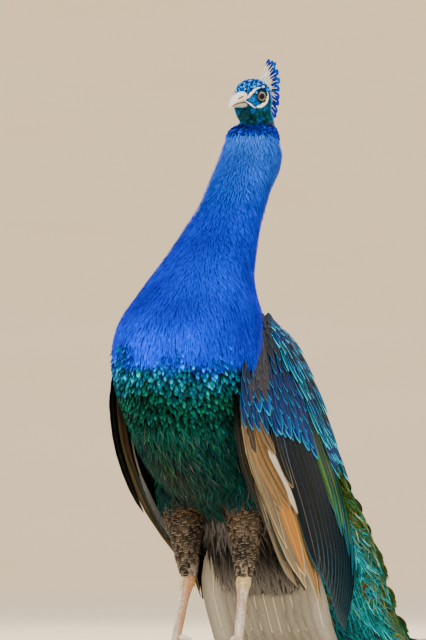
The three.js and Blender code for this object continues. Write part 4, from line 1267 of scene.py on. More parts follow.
# The web's stuff is near black: painted shade between the wing's feathers.
shade_web_stuff = mottled("wing web of painted shade", "#0E1C20", "#1E3030", 0.8, {"Scale": 120.0, "Detail": 3.0})
covert = plumage(
    "shoulder covert feathers", metal=0.35, rough=0.48, barb=0.16, rim_width=0.16, shaft=0.02, lines=8,
    glance="#6C94B4"
)
navy = plumage(
    "navy wing coverts", metal=0.6, rough=0.42, barb=0.14, rim_width=0.16, shaft=0.015, lines=20, glance="#2C7CC8"
)
scapular = plumage(
    "blue green scapulars", metal=0.5, rough=0.42, barb=0.22, rim_width=0.26, shaft=0.02, lines=14, glance="#4CA4C8"
)
flight = plumage(
    "flight feathers", metal=0.05, rough=0.5, barb=0.22, rim_width=0.09, shaft=0.02, lines=60, glance="#7CA4B8"
)
down_wing = plumage("rufous primaries", metal=0.0, rough=0.55, barb=0.16, rim_width=0.1, shaft=0.03, lines=50)

for name, side in SIDES.items():
    turn = np.random.default_rng(200 + side)
    # The dark web inside the feathers: painted shade that shows in the gaps between them.
    u, v = np.meshgrid(np.linspace(0.02, 0.84, 24), np.linspace(0.05, 0.93, 14), indexing="ij")
    outer, inner = wing_point(name, u, v, -10.0), wing_point(name, u, v, -13.0)
    loop = np.concatenate([outer, inner[:, ::-1]], 1)
    points, faces = tube(loop)
    web = show(f"wing_web_{name}", make_mesh(f"wing_web_{name}", place(points), faces), shade_web_stuff)
    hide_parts(f"wing_{name}_coverts", f"wing_{name}_secondaries", f"wing_{name}_primaries")
    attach(web, "root")

    # Primaries: a grey, mottled outer vane and a rufous inner one.
    long_quills = [
        # root u, root v, tip u, tip v, half width, lift, inner vane, outer vane
        (0.36, 0.03, 0.995, 0.46, 15, -6.0, "#7C5826", "#6E6250"), (
            0.36, 0.03, 0.985, 0.36, 15, -5.6, "#84602C", "#7A6E58"
        ),
        (0.36, 0.02, 0.965, 0.15, 13, -5.0, "#7A6A50", "#8E8268"), (
            0.36, 0.03, 0.93, 0.10, 12, -4.4, "#6E5F48", "#7E7462"
        ),
        (0.38, 0.11, 0.905, 0.175, 19, -3.4, "#A06A24", "#5E5850"), (
            0.37, 0.04, 0.8, 0.06, 9, -2.8, "#5E5240", "#76694F"
        ),
    ]
    quill_sizes = np.array([q[:6] for q in long_quills])
    path, normal = wing_row(name, quill_sizes[:, :2], quill_sizes[:, 2:4], quill_sizes[:, 5] - 2, quill_sizes[:, 5], 11)
    points, flat = vanes(path, normal, taper(NARROW, quill_sizes[:, 4]), columns=9, cup=0.06, roll=-side * 0.06)
    to_front = np.linspace(-1, 1, 9) * side
    outer_vane = (by_column(ease(0.25, 0.45, to_front)) + 0.15 * turn.normal(size=(6, 11, 9, 1))).clip(0, 1)
    inner_tone, outer_tone = (np.array([colour(q[k]) for q in long_quills])[:, None, None] for k in (6, 7))
    tone = inner_tone * (1 - outer_vane) + outer_tone * turn.uniform(0.7, 1.2, (6, 11, 9, 1)) * outer_vane
    spot = row_of_spots(0.06, 0.12, 6, 0.12)
    feathers(f"primaries_{name}", points, flat, spot, tone, down_wing, rim=colour("#A8987A"), patch=0.09)

    # Primary coverts and alula quills, striped brown, tan and rufous, with one pale feather.
    quills = np.array([
        # root u, root v, tip u, tip v, half width, lift
        (0.32, 0.0, 0.50, 0.07, 10, -2.5), (0.34, 0.06, 0.50, 0.22, 9, 0.0), (0.40, 0.25, 0.615, 0.285, 8, 1.5),
        (0.42, 0.03, 0.69, 0.13, 11, -1.8), (0.42, 0.09, 0.68, 0.215, 10, -1.2), (0.46, 0.19, 0.70, 0.265, 7, -0.4),
    ])
    path, normal = wing_row(name, quills[:, :2], quills[:, 2:4], quills[:, 5] - 2, quills[:, 5], 9)
    points, flat = vanes(
        path, normal, taper([0.6, 0.85, 0.95, 1, 1, 0.98, 0.9, 0.7, 0.25], quills[:, 4]), columns=9, cup=0.1,
        roll=-side * 0.12
    )
    base_tone = np.array([colour(c) for c in ("#2E2622", "#7A644A", "#0C0C0F", "#5A5044", "#86602C", "#C4C0B0")])
    other = np.array([colour(c) for c in ("#3E342C", "#33281E", "#17171C", "#8C6634", "#453C32", "#A8A290")])
    stripe = by_column(0.5 + 0.5 * np.sin(np.linspace(-1, 1, 9) * 7))
    tone = base_tone[:, None, None] * (1 - stripe) + other[:, None, None] * stripe
    spot = row_of_spots(0.06, 0.1, 6, 0.25)
    feathers(
        f"wing_quills_{name}", points, flat, spot, tone * turn.uniform(0.85, 1.1, (6, 9, 9, 1)), flight,
        rim=colour("#7E6E54"), patch=0.09
    )

    # The inner face of the folded primaries: black, tan and white stripes, and one pale quill to the tip.
    under_quills = [
        # root u, root v, tip u, tip v, half width, depth, tone
        (0.22, -0.03, 0.74, -0.04, 9, -8.5, "#08090C"), (0.30, 0.02, 0.62, 0.02, 5, -14.2, "#6E5A3E"),
        (0.34, 0.07, 0.68, 0.05, 4, -14.8, "#0F0C0A"), (0.46, 0.08, 0.76, 0.04, 2.6, -15.6, "#DCD8CC"),
        (0.40, 0.13, 0.84, 0.12, 7, -14.4, "#0A090C"), (
            0.60, 0.05, 1.0, 0.06, 8.5, -16.2, "#B4BAC2" if name == "right" else "#8A8070"
        ),
        (0.5, 0.22, 0.97, 0.2, 14, -13.8, "#2A2620"),
    ]
    under_sizes = np.array([q[:6] for q in under_quills])
    path, normal = wing_row(name, under_sizes[:, :2], under_sizes[:, 2:4], under_sizes[:, 5], under_sizes[:, 5], 11)
    points, flat = vanes(path, normal, taper(NARROW, under_sizes[:, 4]), columns=9, cup=0.05)
    tone = np.array([colour(q[6]) for q in under_quills])[:, None, None] * turn.uniform(0.85, 1.1, (7, 11, 9, 1))
    spot = row_of_spots(0.06, 0.12, 7, 0.93)
    feathers(f"under_primaries_{name}", points, flat, spot, tone, flight, rim=colour("#3C3830"), patch=0.09)

    # Secondaries: long, black-brown, each tucked under the next one further back.
    v = np.linspace(0.34, 0.97, 13)
    s = (v - 0.34) / 0.66
    tip_u = np.minimum(0.87 + 0.12 * np.sin(np.minimum(1.5 * s, 1) * 1.57), 0.99)
    path, normal = wing_row(name, pairs(0.36, v), pairs(tip_u, v), -1.5 + 1.5 * s, 0.5 + 2.0 * s, 11)
    points, flat = vanes(path, normal, taper(NARROW[:8] + [0.92, 0.76, 0.28], 15), columns=7, cup=0.1, roll=-side * 0.2)
    sheen = by_column(ease(0.2, 0.9, np.linspace(0, 1, 7))) * by_row(ease(0.5, 0.1, np.linspace(0, 1, 11)))
    tone = colour("#040D1A") * (1 - sheen * 0.6) + colour("#053656") * sheen * 0.6
    tone = tone * turn.uniform(0.6, 1.5, (13, 1, 1, 1))
    spot = row_of_spots(0.04, 0.07, 13, 0.4)
    feathers(f"secondaries_{name}", points, flat, spot, tone, flight, rim=colour("#22404E"), patch=0.06)

    # Tertials: dark, with a green and olive gloss along the inner vane.
    v = np.linspace(0.7, 1.0, 8)
    tip_u = np.array([0.7, 0.76, 0.74, 0.82, 0.79, 0.87, 0.84, 0.9])
    path, normal = wing_row(name, pairs(0.4, v - 0.03), pairs(tip_u, v), 2.5, 4.0 + 0.2 * np.arange(8), 11)
    points, flat = vanes(path, normal, taper(NARROW, 12), columns=7, cup=0.08, roll=-side * 0.12)
    gloss = by_column(np.exp(-(((np.linspace(-1, 1, 7) - 0.1) / 0.5) ** 2)))
    gloss = gloss * by_row(ease(0.05, 0.5, np.linspace(0, 1, 11)))
    hue = np.array(
        [colour(c) for c in ("#2F6B2E", "#0E6E5A", "#57802E", "#0A5F70", "#3D7A34", "#0E6F8A", "#2C6B3A", "#1F5F3C")]
    )
    tone = colour("#121614") * (1 - gloss * 0.9) + hue[:, None, None] * gloss * 0.9
    spot = row_of_spots(0.06, 0.1, 8, 0.55)
    feathers(f"tertials_{name}", points, flat, spot, tone, flight, rim=colour("#1C5A6E"), patch=0.09)

    # Greater coverts: long rounded navy feathers with a bright blue-green edge.
    v = np.array([0.03, 0.12, 0.21, 0.3, 0.39, 0.48, 0.57, 0.66, 0.75, 0.84, 0.92, 1.0])
    tip_u = smooth(
        [(0, 0.365), (0.12, 0.39), (0.21, 0.40), (0.3, 0.45), (0.44, 0.465), (0.62, 0.51), (0.8, 0.565), (1, 0.62)], v
    )[:, 0]
    path, normal = wing_row(name, pairs(tip_u - 0.17, v - 0.01), pairs(tip_u, v), 1.0, 3.2, 11)
    points, flat = vanes(
        path, normal, taper([0.6, 0.8, 0.92, 1, 1, 1, 1, 0.98, 0.88, 0.66, 0.2], 10.5 + 2.5 * ease(0.5, 0.2, v)),
        columns=7, cup=0.14, roll=-side * 0.1
    )
    green_vane = by_column(ease(0.3, -0.7, np.linspace(-1, 1, 7) * side)) * by_row(ease(0.3, 1, np.linspace(0, 1, 11)))
    tone = colour("#02246E") * (1 - green_vane * 0.8) + colour("#0878D0") * green_vane * 0.8
    tone = tone * turn.uniform(0.8, 1.3, (12, 1, 1, 1))
    spot = row_of_spots(0.04, 0.075, 12, 0.7)
    feathers(
        f"greater_coverts_{name}", points, flat, spot, tone, navy, rim=colour("#1C98D0"), patch=0.055
    )

    # Median and lesser coverts: rows of small rounded feathers, brown-grey at the shoulder and blue further down.
    roots, tips, halves, lifts = [], [], [], []
    front_edge = {"left": -0.08, "right": 0.0}[name]
    for row in range(13):
        start = 0.33 - 0.027 * row
        count = 14 - row // 3
        v = front_edge + (1 - front_edge) * (np.arange(count) + (row % 2) * 0.5 + 0.2) / count
        reach = 0.105 - 0.0038 * row
        roots.append(pairs(start + 0.08 * v * (row < 5), v))
        tips.append(pairs(start + reach + 0.08 * v * (row < 5), v + 0.01))
        halves.append(np.full(count, 8.2 - 0.25 * row))
        lifts.append(3.2 + 0.22 * row - 37 * front_edge * ease(0.12, -0.05, v))
    roots, tips, halves, lifts = (np.concatenate(part) for part in (roots, tips, halves, lifts))
    tips = tips + turn.normal(0, 0.004, tips.shape)
    path, normal = wing_row(name, roots, tips, lifts - 2.0, lifts, 7)
    points, flat = vanes(path, normal, taper(ROUND, halves), columns=5, cup=0.22, roll=turn.normal(0, 0.08, len(roots)))
    bluish = np.clip(ease(0.16, 0.3, tips[:, 0] - 0.1 * (1 - tips[:, 1])) + turn.uniform(-0.15, 0.15, len(tips)), 0, 1)
    tone = blend(colour("#24262C"), colour("#032054"), bluish)
    edge = blend(colour("#3C4250"), colour("#1278B8"), ease(0.05, 0.5, bluish + 0.5 * ease(0.2, 0.5, tips[:, 1])))
    centre = by_row([0.6, 0.8, 1, 1.05, 1.1, 1.1, 1.1])
    feathers(
        f"lesser_coverts_{name}", points, flat, tips * (0.45, 0.9) + 0.02,
        shades(tone, 0.2, 205)[:, None, None] * centre, covert, rim=edge[:, None, None], patch=0.02
    )

    # Broad grey-brown feathers at the bend of the wing.
    bend_roots = np.array([(0.13 + 0.032 * r, 0.02 + 0.075 * c + 0.03 * (r % 2)) for r in range(5) for c in range(3)])
    path, normal = wing_row(name, bend_roots, bend_roots + (0.105, 0.02), 3.5, 5.2, 7)
    points, flat = vanes(
        path, normal, taper(ROUND, 8.8), columns=5, cup=0.2, roll=turn.normal(0, 0.06, len(bend_roots))
    )
    tone = blend(colour("#34323A"), colour("#26303E"), turn.uniform(0, 0.8, len(bend_roots)))
    feathers(
        f"bend_feathers_{name}", points, flat, bend_roots * (0.45, 0.9) + 0.5, shades(tone, 0.15, 206)[:, None, None],
        covert, rim=colour("#4A4A50"), patch=0.02
    )

    # Scapulars: a band of pointed blue-green feathers along the back edge, over everything else.
    roots = []
    for row in range(12):
        u0 = -0.01 + 0.043 * row
        for c in range(6):
            inner_v = 0.34 + 0.5 * ease(0.0, 0.5, u0)
            roots.append((u0, inner_v + (1.0 - inner_v) * (c + 0.5 * (row % 2)) / 5.5))
    roots = np.array(roots)
    tips = roots + np.array([0.12, 0.025]) + turn.normal(0, 0.005, roots.shape)
    path, normal = wing_row(name, roots, tips, 3.8, 6.8, 7)
    points, flat = vanes(
        path, normal, taper([0.5, 0.85, 1, 0.95, 0.8, 0.5, 0.12], 7.6), columns=5, cup=0.25,
        roll=turn.normal(0, 0.12, len(roots))
    )
    pick = turn.uniform(0, 1, len(roots))[:, None]
    tone = np.where(pick < 0.35, colour("#084A6A"), np.where(pick < 0.6, colour("#06265C"), colour("#1A1C26")))
    bright = np.where(pick < 0.6, colour("#14B4DC"), colour("#2A78C0"))
    centre = by_row([0.3, 0.5, 0.8, 1.1, 1.3, 1.5, 1.5])
    feathers(
        f"scapulars_{name}", points, flat, np.clip(tips, 0, 1) * (0.45, 0.9) + 0.02,
        shades(tone, 0.2, 207)[:, None, None] * centre, scapular, rim=bright[:, None, None] * centre,
        patch=0.02
    )

# ---------------------------------------------------------------- tail
# Twelve stiff, plain grey-buff tail feathers with pale shafts, rooted under the train and fanned a little, the
# outer ones lying under the middle ones.
TAIL_PATH = [(136, 258), (158, 214), (184, 150), (208, 92), (240, 44), (298, 20), (375, 12), (446, 9)]
TAIL_WIDTH = [(0, 36), (0.12, 56), (0.28, 92), (0.46, 96), (0.74, 102), (1, 96)]
TRAIN_PATH = [
    (170, 416), (236, 362), (286, 300), (324, 232), (352, 164), (386, 104), (436, 64), (516, 44), (640, 38),
    (820, 36), (1000, 33), (1130, 26), (1200, 16)
]
# Share of the train's length, half width, drop of its edges, thickness.
TRAIN_ROWS = [
    (0, 48, 16, 20), (0.1, 82, 27, 30), (0.15, 99, 34, 34), (0.2, 114, 35, 35), (0.32, 132, 36, 37),
    (0.45, 148, 31, 37), (0.6, 181, 22, 34), (0.82, 220, 16, 22), (1, 226, 10, 12)
]


class Sheet:
    """A surface swept along a path in the bird's middle plane, addressed by share, side and height."""

    def __init__(self, path, rows, floor):
        fine = spline([(0, y, z) for y, z in path], np.linspace(0, 1, 900))
        step = np.linalg.norm(np.diff(fine, axis=0), axis=1)
        self.run = np.concatenate([[0], np.cumsum(step)])
        self.length = self.run[-1]
        self.run /= self.length
        self.fine = fine
        self.tangent = unit(np.gradient(fine, axis=0))
        self.shares = np.linspace(0, 1, 400)
        self.rows = smooth(rows, self.shares)
        self.floor = floor

    def read(self, table, shares, at):
        return np.stack([np.interp(at, shares, table[:, i]) for i in range(table.shape[1])], -1)

    def width(self, share):
        return np.interp(share, self.shares, self.rows[:, 0])

    def at(self, share, x, high):
        share, x, high = np.broadcast_arrays(*(np.asarray(a, dtype=float) for a in (share, x, high)))
        middle = self.read(self.fine, self.run, share)
        tangent = self.read(self.tangent, self.run, share)
        middle = middle + tangent * (np.maximum(share - 1, 0) * self.length)[..., None]
        up = np.stack([np.zeros_like(share), -tangent[..., 2], tangent[..., 1]], -1)
        rows = self.read(self.rows, self.shares, share)
        v = x / rows[..., 0]
        point = middle + up * (high - rows[..., 1] * np.abs(v) ** 2.2)[..., None]
        point[..., 0] = x
        point[..., 2] = np.maximum(point[..., 2], self.floor)
        return point

    def up(self, share):
        tangent = self.read(self.tangent, self.run, np.asarray(share, dtype=float))
        return np.stack([np.zeros(tangent.shape[:-1]), -tangent[..., 2], tangent[..., 1]], -1)


fan = Sheet(TAIL_PATH, [(s, w, 10 * (1 - s)) for s, w in TAIL_WIDTH], 1.0)
rectrix = plumage("grey buff tail feathers", metal=0.0, rough=0.55, barb=0.2, rim_width=0.06, shaft=0.035, lines=55)
turn = np.random.default_rng(301)
v = np.linspace(-0.86, 0.86, 12)
end = 1 - 0.1 * v**2 - turn.uniform(0, 0.012, 12)
share = 0.03 + (end[:, None] - 0.03) * np.linspace(0, 1, 18)[None, :]
path = fan.at(share, v[:, None] * fan.width(share), (3.0 - 6.5 * np.abs(v))[:, None] - 1.0)
half = taper([0.4, 0.6, 0.75, 0.85, 0.92, 0.96, 1, 1, 1, 1, 1, 1, 1, 0.98, 0.94, 0.84, 0.62, 0.12], 17)
points, flat = vanes(path, fan.up(share), half, columns=9, cup=0.05, roll=-0.1 * np.sign(v))
mottle = turn.uniform(0.9, 1.08, (12, 18, 9, 1))
# Each tail feather darkens towards both edges: painted shade where the feathers overlap.
edge_shade = np.abs(np.linspace(-1, 1, 9))[None, None, :] ** 2
tone = blend(colour("#9C9A98"), colour("#504E4C"), edge_shade * 0.6)
tone = tone * mottle * turn.uniform(0.85, 1.1, (12, 1, 1, 1))
spot = row_of_spots(0.05, 0.08, 12, 0.5)
tail = feathers("tail_feathers", points, flat, spot, tone, rectrix, rim=colour("#C2B7A5"), patch=0.05)
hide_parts("tail")
shafts = path[:, ::2] - fan.up(share[:, ::2]) * 0.5
shaft_piece(
    "tail_shafts", shafts, np.linspace(1.5, 0.4, shafts.shape[1])[None, :], colour("#CFC7B8"), quill,
    5
)

# ---------------------------------------------------------------- train
# Long coverts laid down in staggered rows over a dark pad, painted shade in the depth of the train: each a pale shaft
# with loose bronze-green barbs, most ending in an eye of violet, turquoise, bronze and gold, the longest in a forked
# tip.
drape = Sheet(TRAIN_PATH, TRAIN_ROWS, 1.5)
EDGE = 229.0  # half the width that the longest barbs keep to
# The pad is near-black brown: painted shade in the depth of the train, under its feathers.
shade_pad_stuff = mottled("painted shade under the train", "#17120C", "#3A3120", 0.9, {"Scale": 90.0, "Detail": 4.0})
share, across = np.meshgrid(np.linspace(0.02, 1, 60), np.linspace(-0.92, 0.92, 33), indexing="ij")
share = share * (0.90 - 0.16 * across**2)
thick = drape.read(drape.rows, drape.shares, share)[..., 2]
side_x = across * drape.width(share)
upper = drape.at(share, side_x, -np.minimum(9, thick * 0.45))
lower = drape.at(share, side_x, -thick * (1 - 0.8 * np.abs(across) ** 3) * 0.92)
lower[..., 2] = np.minimum(lower[..., 2], upper[..., 2])
points, faces = tube(np.concatenate([upper, lower[:, ::-1]], 1))
pad = show("train_pad", make_mesh("train_pad", place(points), faces), shade_pad_stuff)
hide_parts("train_saddle", "train_upper", "train_middle", "train_end")
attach(pad, "root")

turn = np.random.default_rng(302)
tips, sides_, sizes = [], [], []
row_share = 0.25
row = 0
while row_share < 0.985:
    half_width = drape.width(row_share)
    size = 0.62 + 0.38 * float(ease(0.25, 0.6, row_share))
    count = max(4, int(round(2 * half_width / (50 * size)))) + row % 2
    for v in (np.linspace(-0.95, 0.95, count) + turn.normal(0, 0.02, count)).clip(-0.95, 0.95):
        tips.append(row_share + turn.normal(0, 0.004))
        sides_.append(v)
        sizes.append(size * turn.uniform(0.92, 1.06))
    row_share += 0.036 * size / 0.9 + 0.006
    row += 1
tips, sides_, sizes = np.array(tips), np.array(sides_), np.array(sizes)
tips = tips - 0.1 * sides_**2 * ease(0.3, 1, tips)
eyed = tips < 0.93 + 0.05 * turn.uniform(-1, 1, len(tips))
reach = np.minimum(0.36, tips - 0.06)


def train_spots(share, v):
    """Places on the unwrap for feathers of the train."""
    return np.stack([0.5 + v * 0.45, np.clip(share, 0, 1) * 0.9 + 0.05], -1)


def train_high(share, tip):
    """How high a feather lies: its tip is on top, and it sinks under shorter feathers towards its root."""
    return 1.0 - 26 * (tip - share)


shaft_share = tips[:, None] - reach[:, None] * np.linspace(1, 0.03, 16)[None, :]
shafts = drape.at(shaft_share, sides_[:, None] * drape.width(shaft_share), train_high(shaft_share, tips[:, None]) + 0.8)
shaft_piece("train_shafts", shafts, np.linspace(1.15, 0.35, 16)[None, :], colour("#B9AE98"), quill)


def train_barbs(name, chosen, spacing, seed):
    """Loose barbs to both sides of the chosen feathers' shafts."""
    pick = np.random.default_rng(seed)
    starts, whose, hand = [], [], []
    for k in chosen:
        gap = spacing / drape.length
        s = np.arange(tips[k] - reach[k], tips[k] - 0.004, gap)
        for side in (-1, 1):
            starts.append(s + pick.uniform(0, gap, len(s)))
            whose.append(np.full(len(s), k))
            hand.append(np.full(len(s), side))
    starts, whose, hand = (np.concatenate(part) for part in (starts, whose, hand))
    left = tips[whose] - starts
    fork = ~eyed[whose]
    length = sizes[whose] * pick.uniform(34, 46, len(whose)) * (1 + 0.25 * fork)
    length *= 0.45 + 0.55 * ease(0, 0.02, left + 0.02 * fork)
    room = drape.width(starts) * (1 - np.abs(sides_[whose])) + 9
    length *= np.where(hand * sides_[whose] > 0, np.minimum(1, room / (length * 0.62)), 1)
    angle = np.radians(34 + 10 * ease(0.05, 0, left) * ~fork - 8 * fork) + pick.normal(0, 0.06, len(whose))
    t = np.array([0, 0.4, 0.75, 1.0])[None, :]
    turned = angle[:, None] - 0.28 * t
    s = starts[:, None] + length[:, None] * t * np.cos(turned) / drape.length
    root_x = sides_[whose] * drape.width(starts)
    x = np.clip(root_x[:, None] + hand[:, None] * length[:, None] * t * np.sin(turned), -EDGE, EDGE)
    lift = pick.normal(0, 0.8, len(whose))[:, None] * t + 1.2 * np.sin(np.pi * t)
    high = train_high(s, tips[whose][:, None]) + lift - 1.0 * t
    paths = drape.at(s, x, high)
    normal = drape.up(s) + pick.normal(0, 0.25, (len(whose), 1, 3))
    points, flat = vanes(paths, unit(normal), taper([1, 1.1, 0.8, 0.25], 0.95), columns=2, cup=0)
    gold = blend(colour("#6E5A22"), colour("#2C7A34"), pick.uniform(0, 1, len(whose)))
    green = blend(
        colour("#0F7A4A"), colour("#0A8496"),
        np.clip(pick.uniform(-0.3, 1, len(whose)) + 0.4 * ease(0.7, 0.3, starts), 0, 1)
    )
    share = np.array([0, 0.35, 0.7, 1])[None, :, None]
    tone = gold[:, None] * (1 - share) + green[:, None] * share
    tone = shades(tone.reshape(-1, 3), 0.22, seed + 1).reshape(tone.shape)
    feathers(
        name, points, flat, train_spots(starts, sides_[whose]), tone[:, :, None], barbs, patch=0.003
    )


barbs = plumage("loose bronze green barbs", metal=0.45, rough=0.36, barb=0.25, lines=4)
order = np.argsort(tips)
for i, chosen in enumerate(np.array_split(order, 3)):
    train_barbs(f"train_barbs_{'abc'[i]}", chosen, 2.9, 310 + i)

# The underside of the train: loose barbs hang over it, olive at the root and turquoise lower down.
def under(share, v, out):
    """A place off the underside of the train, which faces forward and down."""
    thick = drape.read(drape.rows, drape.shares, share)[..., 2]
    return drape.at(share, v * drape.width(share), -thick * (1 - 0.8 * np.abs(v).clip(0, 1) ** 3) * 0.92 - out)


pick = np.random.default_rng(330)
low_count = 9000
low_share = 0.06 + 0.56 * pick.uniform(0, 1, low_count) ** 1.4
low_v = pick.uniform(-1.0, 1.0, low_count)
low_length = pick.uniform(26, 44, low_count)
low_turn = pick.normal(0, 0.4, low_count) + 0.25 * low_v
t = np.array([0, 0.35, 0.7, 1.0])[None, :]
bent = low_turn[:, None] * (0.4 + 0.9 * t)
s = low_share[:, None] + low_length[:, None] * t * np.cos(bent) / drape.length
v = low_v[:, None] + low_length[:, None] * t * np.sin(bent) / drape.width(s)
v = np.clip(v, -1.06, 1.06)
paths = under(s, v, 0.5 + (1.5 + pick.uniform(0, 6, low_count))[:, None] * t)
normal = -drape.up(s) + pick.normal(0, 0.35, (low_count, 1, 3))
points, flat = vanes(paths, unit(normal), taper([1, 1.1, 0.8, 0.2], 0.95), columns=2, cup=0)
olive = blend(colour("#1F6B3A"), colour("#77762E"), pick.uniform(0, 1, low_count))
turquoise = blend(colour("#0EA8CC"), colour("#2AD8E4"), pick.uniform(0, 1, low_count))
turquoise = blend(turquoise, colour("#0C5A50"), (pick.uniform(0, 1, low_count) < 0.22) * 0.8)
cool = ease(0.165, 0.22, low_share + 0.02 * pick.normal(size=low_count)) * ease(
    1.0, 0.8, np.abs(low_v) + 0.06 * pick.normal(size=low_count)
)
tone = shades(blend(olive, turquoise, cool), 0.35, 331)
tone = blend(tone, colour("#D8D09A"), (pick.uniform(0, 1, low_count) < 0.015) * 0.6)
feathers(
    "train_under_barbs", points, flat, train_spots(low_share, low_v),
    tone[:, None, None] * by_row([0.5, 0.8, 1.1, 1.2]), barbs
)

# The eyes of the train: close-set discs with a dark heart, each ringed by bright barbs.
ocellus, shader = new_material("train eye")
uv = add(ocellus, "UVMap", uv_map="vane")
parts = add(ocellus, "SeparateXYZ", {"Vector": uv})
side = add(ocellus, "Math", {0: parts.outputs[0], 1: 2.0, 2: -1.0}, operation="MULTIPLY_ADD")
ahead = add(ocellus, "Math", {0: parts.outputs[1], 1: 2.0, 2: -1.05}, operation="MULTIPLY_ADD")
notch = add(ocellus, "Math", {0: side}, operation="ABSOLUTE")
notch = add(ocellus, "MapRange", {"Value": notch, 1: 0.0, 2: 0.16, 3: 0.14, 4: 0.0})
behind = add(ocellus, "MapRange", {"Value": ahead, 1: 0.05, 2: -0.2})
notch = add(ocellus, "Math", {0: notch, 1: behind}, operation="MULTIPLY")
across_sq = add(ocellus, "Math", {0: side, 1: side}, operation="MULTIPLY")
ahead_sq = add(ocellus, "Math", {0: ahead, 1: ahead}, operation="MULTIPLY")
away = add(ocellus, "Math", {0: across_sq, 1: ahead_sq}, operation="ADD")
away = add(ocellus, "Math", {0: away, 1: 0.5}, operation="POWER")
away = add(ocellus, "Math", {0: away, 1: notch}, operation="ADD")
where = add(ocellus, "TexCoord")
grain = add(ocellus, "TexNoise", {"Vector": where.outputs["Object"], "Scale": 300.0, "Detail": 3.0})
away = add(ocellus, "Math", {0: grain, 1: 0.08, 2: away}, operation="MULTIPLY_ADD")
rings = add(ocellus, "ValToRGB", {"Fac": away})
stops = [
    (0.0, "#0B0A4A"), (0.27, "#101070"), (0.32, "#0B9CC8"), (0.46, "#12B8C4"), (0.52, "#6A3E18"), (0.76, "#8C5C22"),
    (0.82, "#5C8A24"), (0.9, "#A08A34"), (0.97, "#2A8A46")
]
set_stops(rings.color_ramp.elements, stops)
fine = add(ocellus, "Math", {0: parts.outputs[1], 1: 150.0}, operation="MULTIPLY")
comb = add(ocellus, "Math", {0: fine}, operation="SINE")
ridge = add(ocellus, "Bump", {"Strength": 0.25, "Distance": 0.0003, "Height": comb})
settle(ocellus, shader, {"Base Color": rings, "Metallic": 0.5, "Roughness": 0.32, "Normal": ridge})
disc_rows = np.linspace(-1, 1, 13)


def eye_discs(name, paths, up, radius, spots, cup):
    """Round vanes along short paths, with their vane coordinates narrowed to the disc."""
    half = np.sqrt(np.maximum(1 - (disc_rows * 0.985) ** 2, 0)) * radius[:, None]
    points, flat = vanes(paths, up, half, columns=15, cup=cup)
    narrowed = half / half.max(1, keepdims=True)
    across = 0.5 + (flat[None, ..., 0] - 0.5) * narrowed[..., None]
    flat = np.stack([across, np.broadcast_to(flat[None, ..., 1], across.shape)], -1)
    feathers(name, points, flat, spots, colour("#0B9CC8"), ocellus, patch=0.02)


chosen = np.flatnonzero(eyed)
middle_share = tips[chosen] - 20 * sizes[chosen] / drape.length
share = middle_share[:, None] + disc_rows[None, :] * (21 * sizes[chosen])[:, None] / drape.length
x = (sides_[chosen] * drape.width(middle_share))[:, None] + 0 * share
path = drape.at(share, x, train_high(share, tips[chosen][:, None]) + 2.2)
up = drape.up(share) + turn.normal(0, 0.06, (len(chosen), 1, 3))
eye_discs("train_eyes", path, up, 18.5 * sizes[chosen], train_spots(tips[chosen], sides_[chosen]), 0.08)
# A few eyes show from below, at both sides.
low_eyes = np.array([
    # share, side, size
    (0.205, 0.84, 0.62), (0.285, 0.80, 0.95), (0.345, 0.92, 0.8), (0.36, 0.55, 0.9), (0.43, 0.75, 1.0),
    (0.47, 0.4, 1.0), (0.245, 0.5, 0.7), (0.3, 0.3, 0.8),
])
low_eyes = np.concatenate([low_eyes, low_eyes * (1, -1, 1)])
share = low_eyes[:, :1] + disc_rows[None, :] * 19 * low_eyes[:, 2:] / drape.length
path = under(share, low_eyes[:, 1:2] + 0 * share, 3.6)
spot = train_spots(low_eyes[:, 0], low_eyes[:, 1])
eye_discs("train_under_eyes", path, -drape.up(share), 16 * low_eyes[:, 2], spot, 0.12)
whose = np.repeat(chosen, 34)
spin = np.tile(np.radians(np.linspace(-128, 128, 34)), len(chosen)) + turn.normal(0, 0.03, len(whose))
t = np.array([0, 0.5, 1.0])[None, :]
far = (13 + turn.uniform(10, 17, len(whose))[:, None] * t) * sizes[whose][:, None]
lean = spin[:, None] * (1 - 0.22 * t)
s = (tips[whose] - 20 * sizes[whose] / drape.length)[:, None] + far * np.cos(lean) / drape.length
x = (sides_[whose] * drape.width(tips[whose]))[:, None] + far * np.sin(lean)
x = np.clip(x, -EDGE, EDGE)
paths = drape.at(s, x, train_high(s, tips[whose][:, None]) + 1.8 - 1.5 * t + turn.normal(0, 0.5, (len(whose), 1)) * t)
points, flat = vanes(paths, drape.up(s), taper([1.3, 1.1, 0.3], 0.95), columns=2, cup=0)
tone = blend(colour("#8A7A2A"), colour("#1E8A4C"), turn.uniform(0, 1, len(whose)))
feathers(
    "train_eye_fringes", points, flat, train_spots(tips[whose], sides_[whose]), tone[:, None, None], barbs,
)

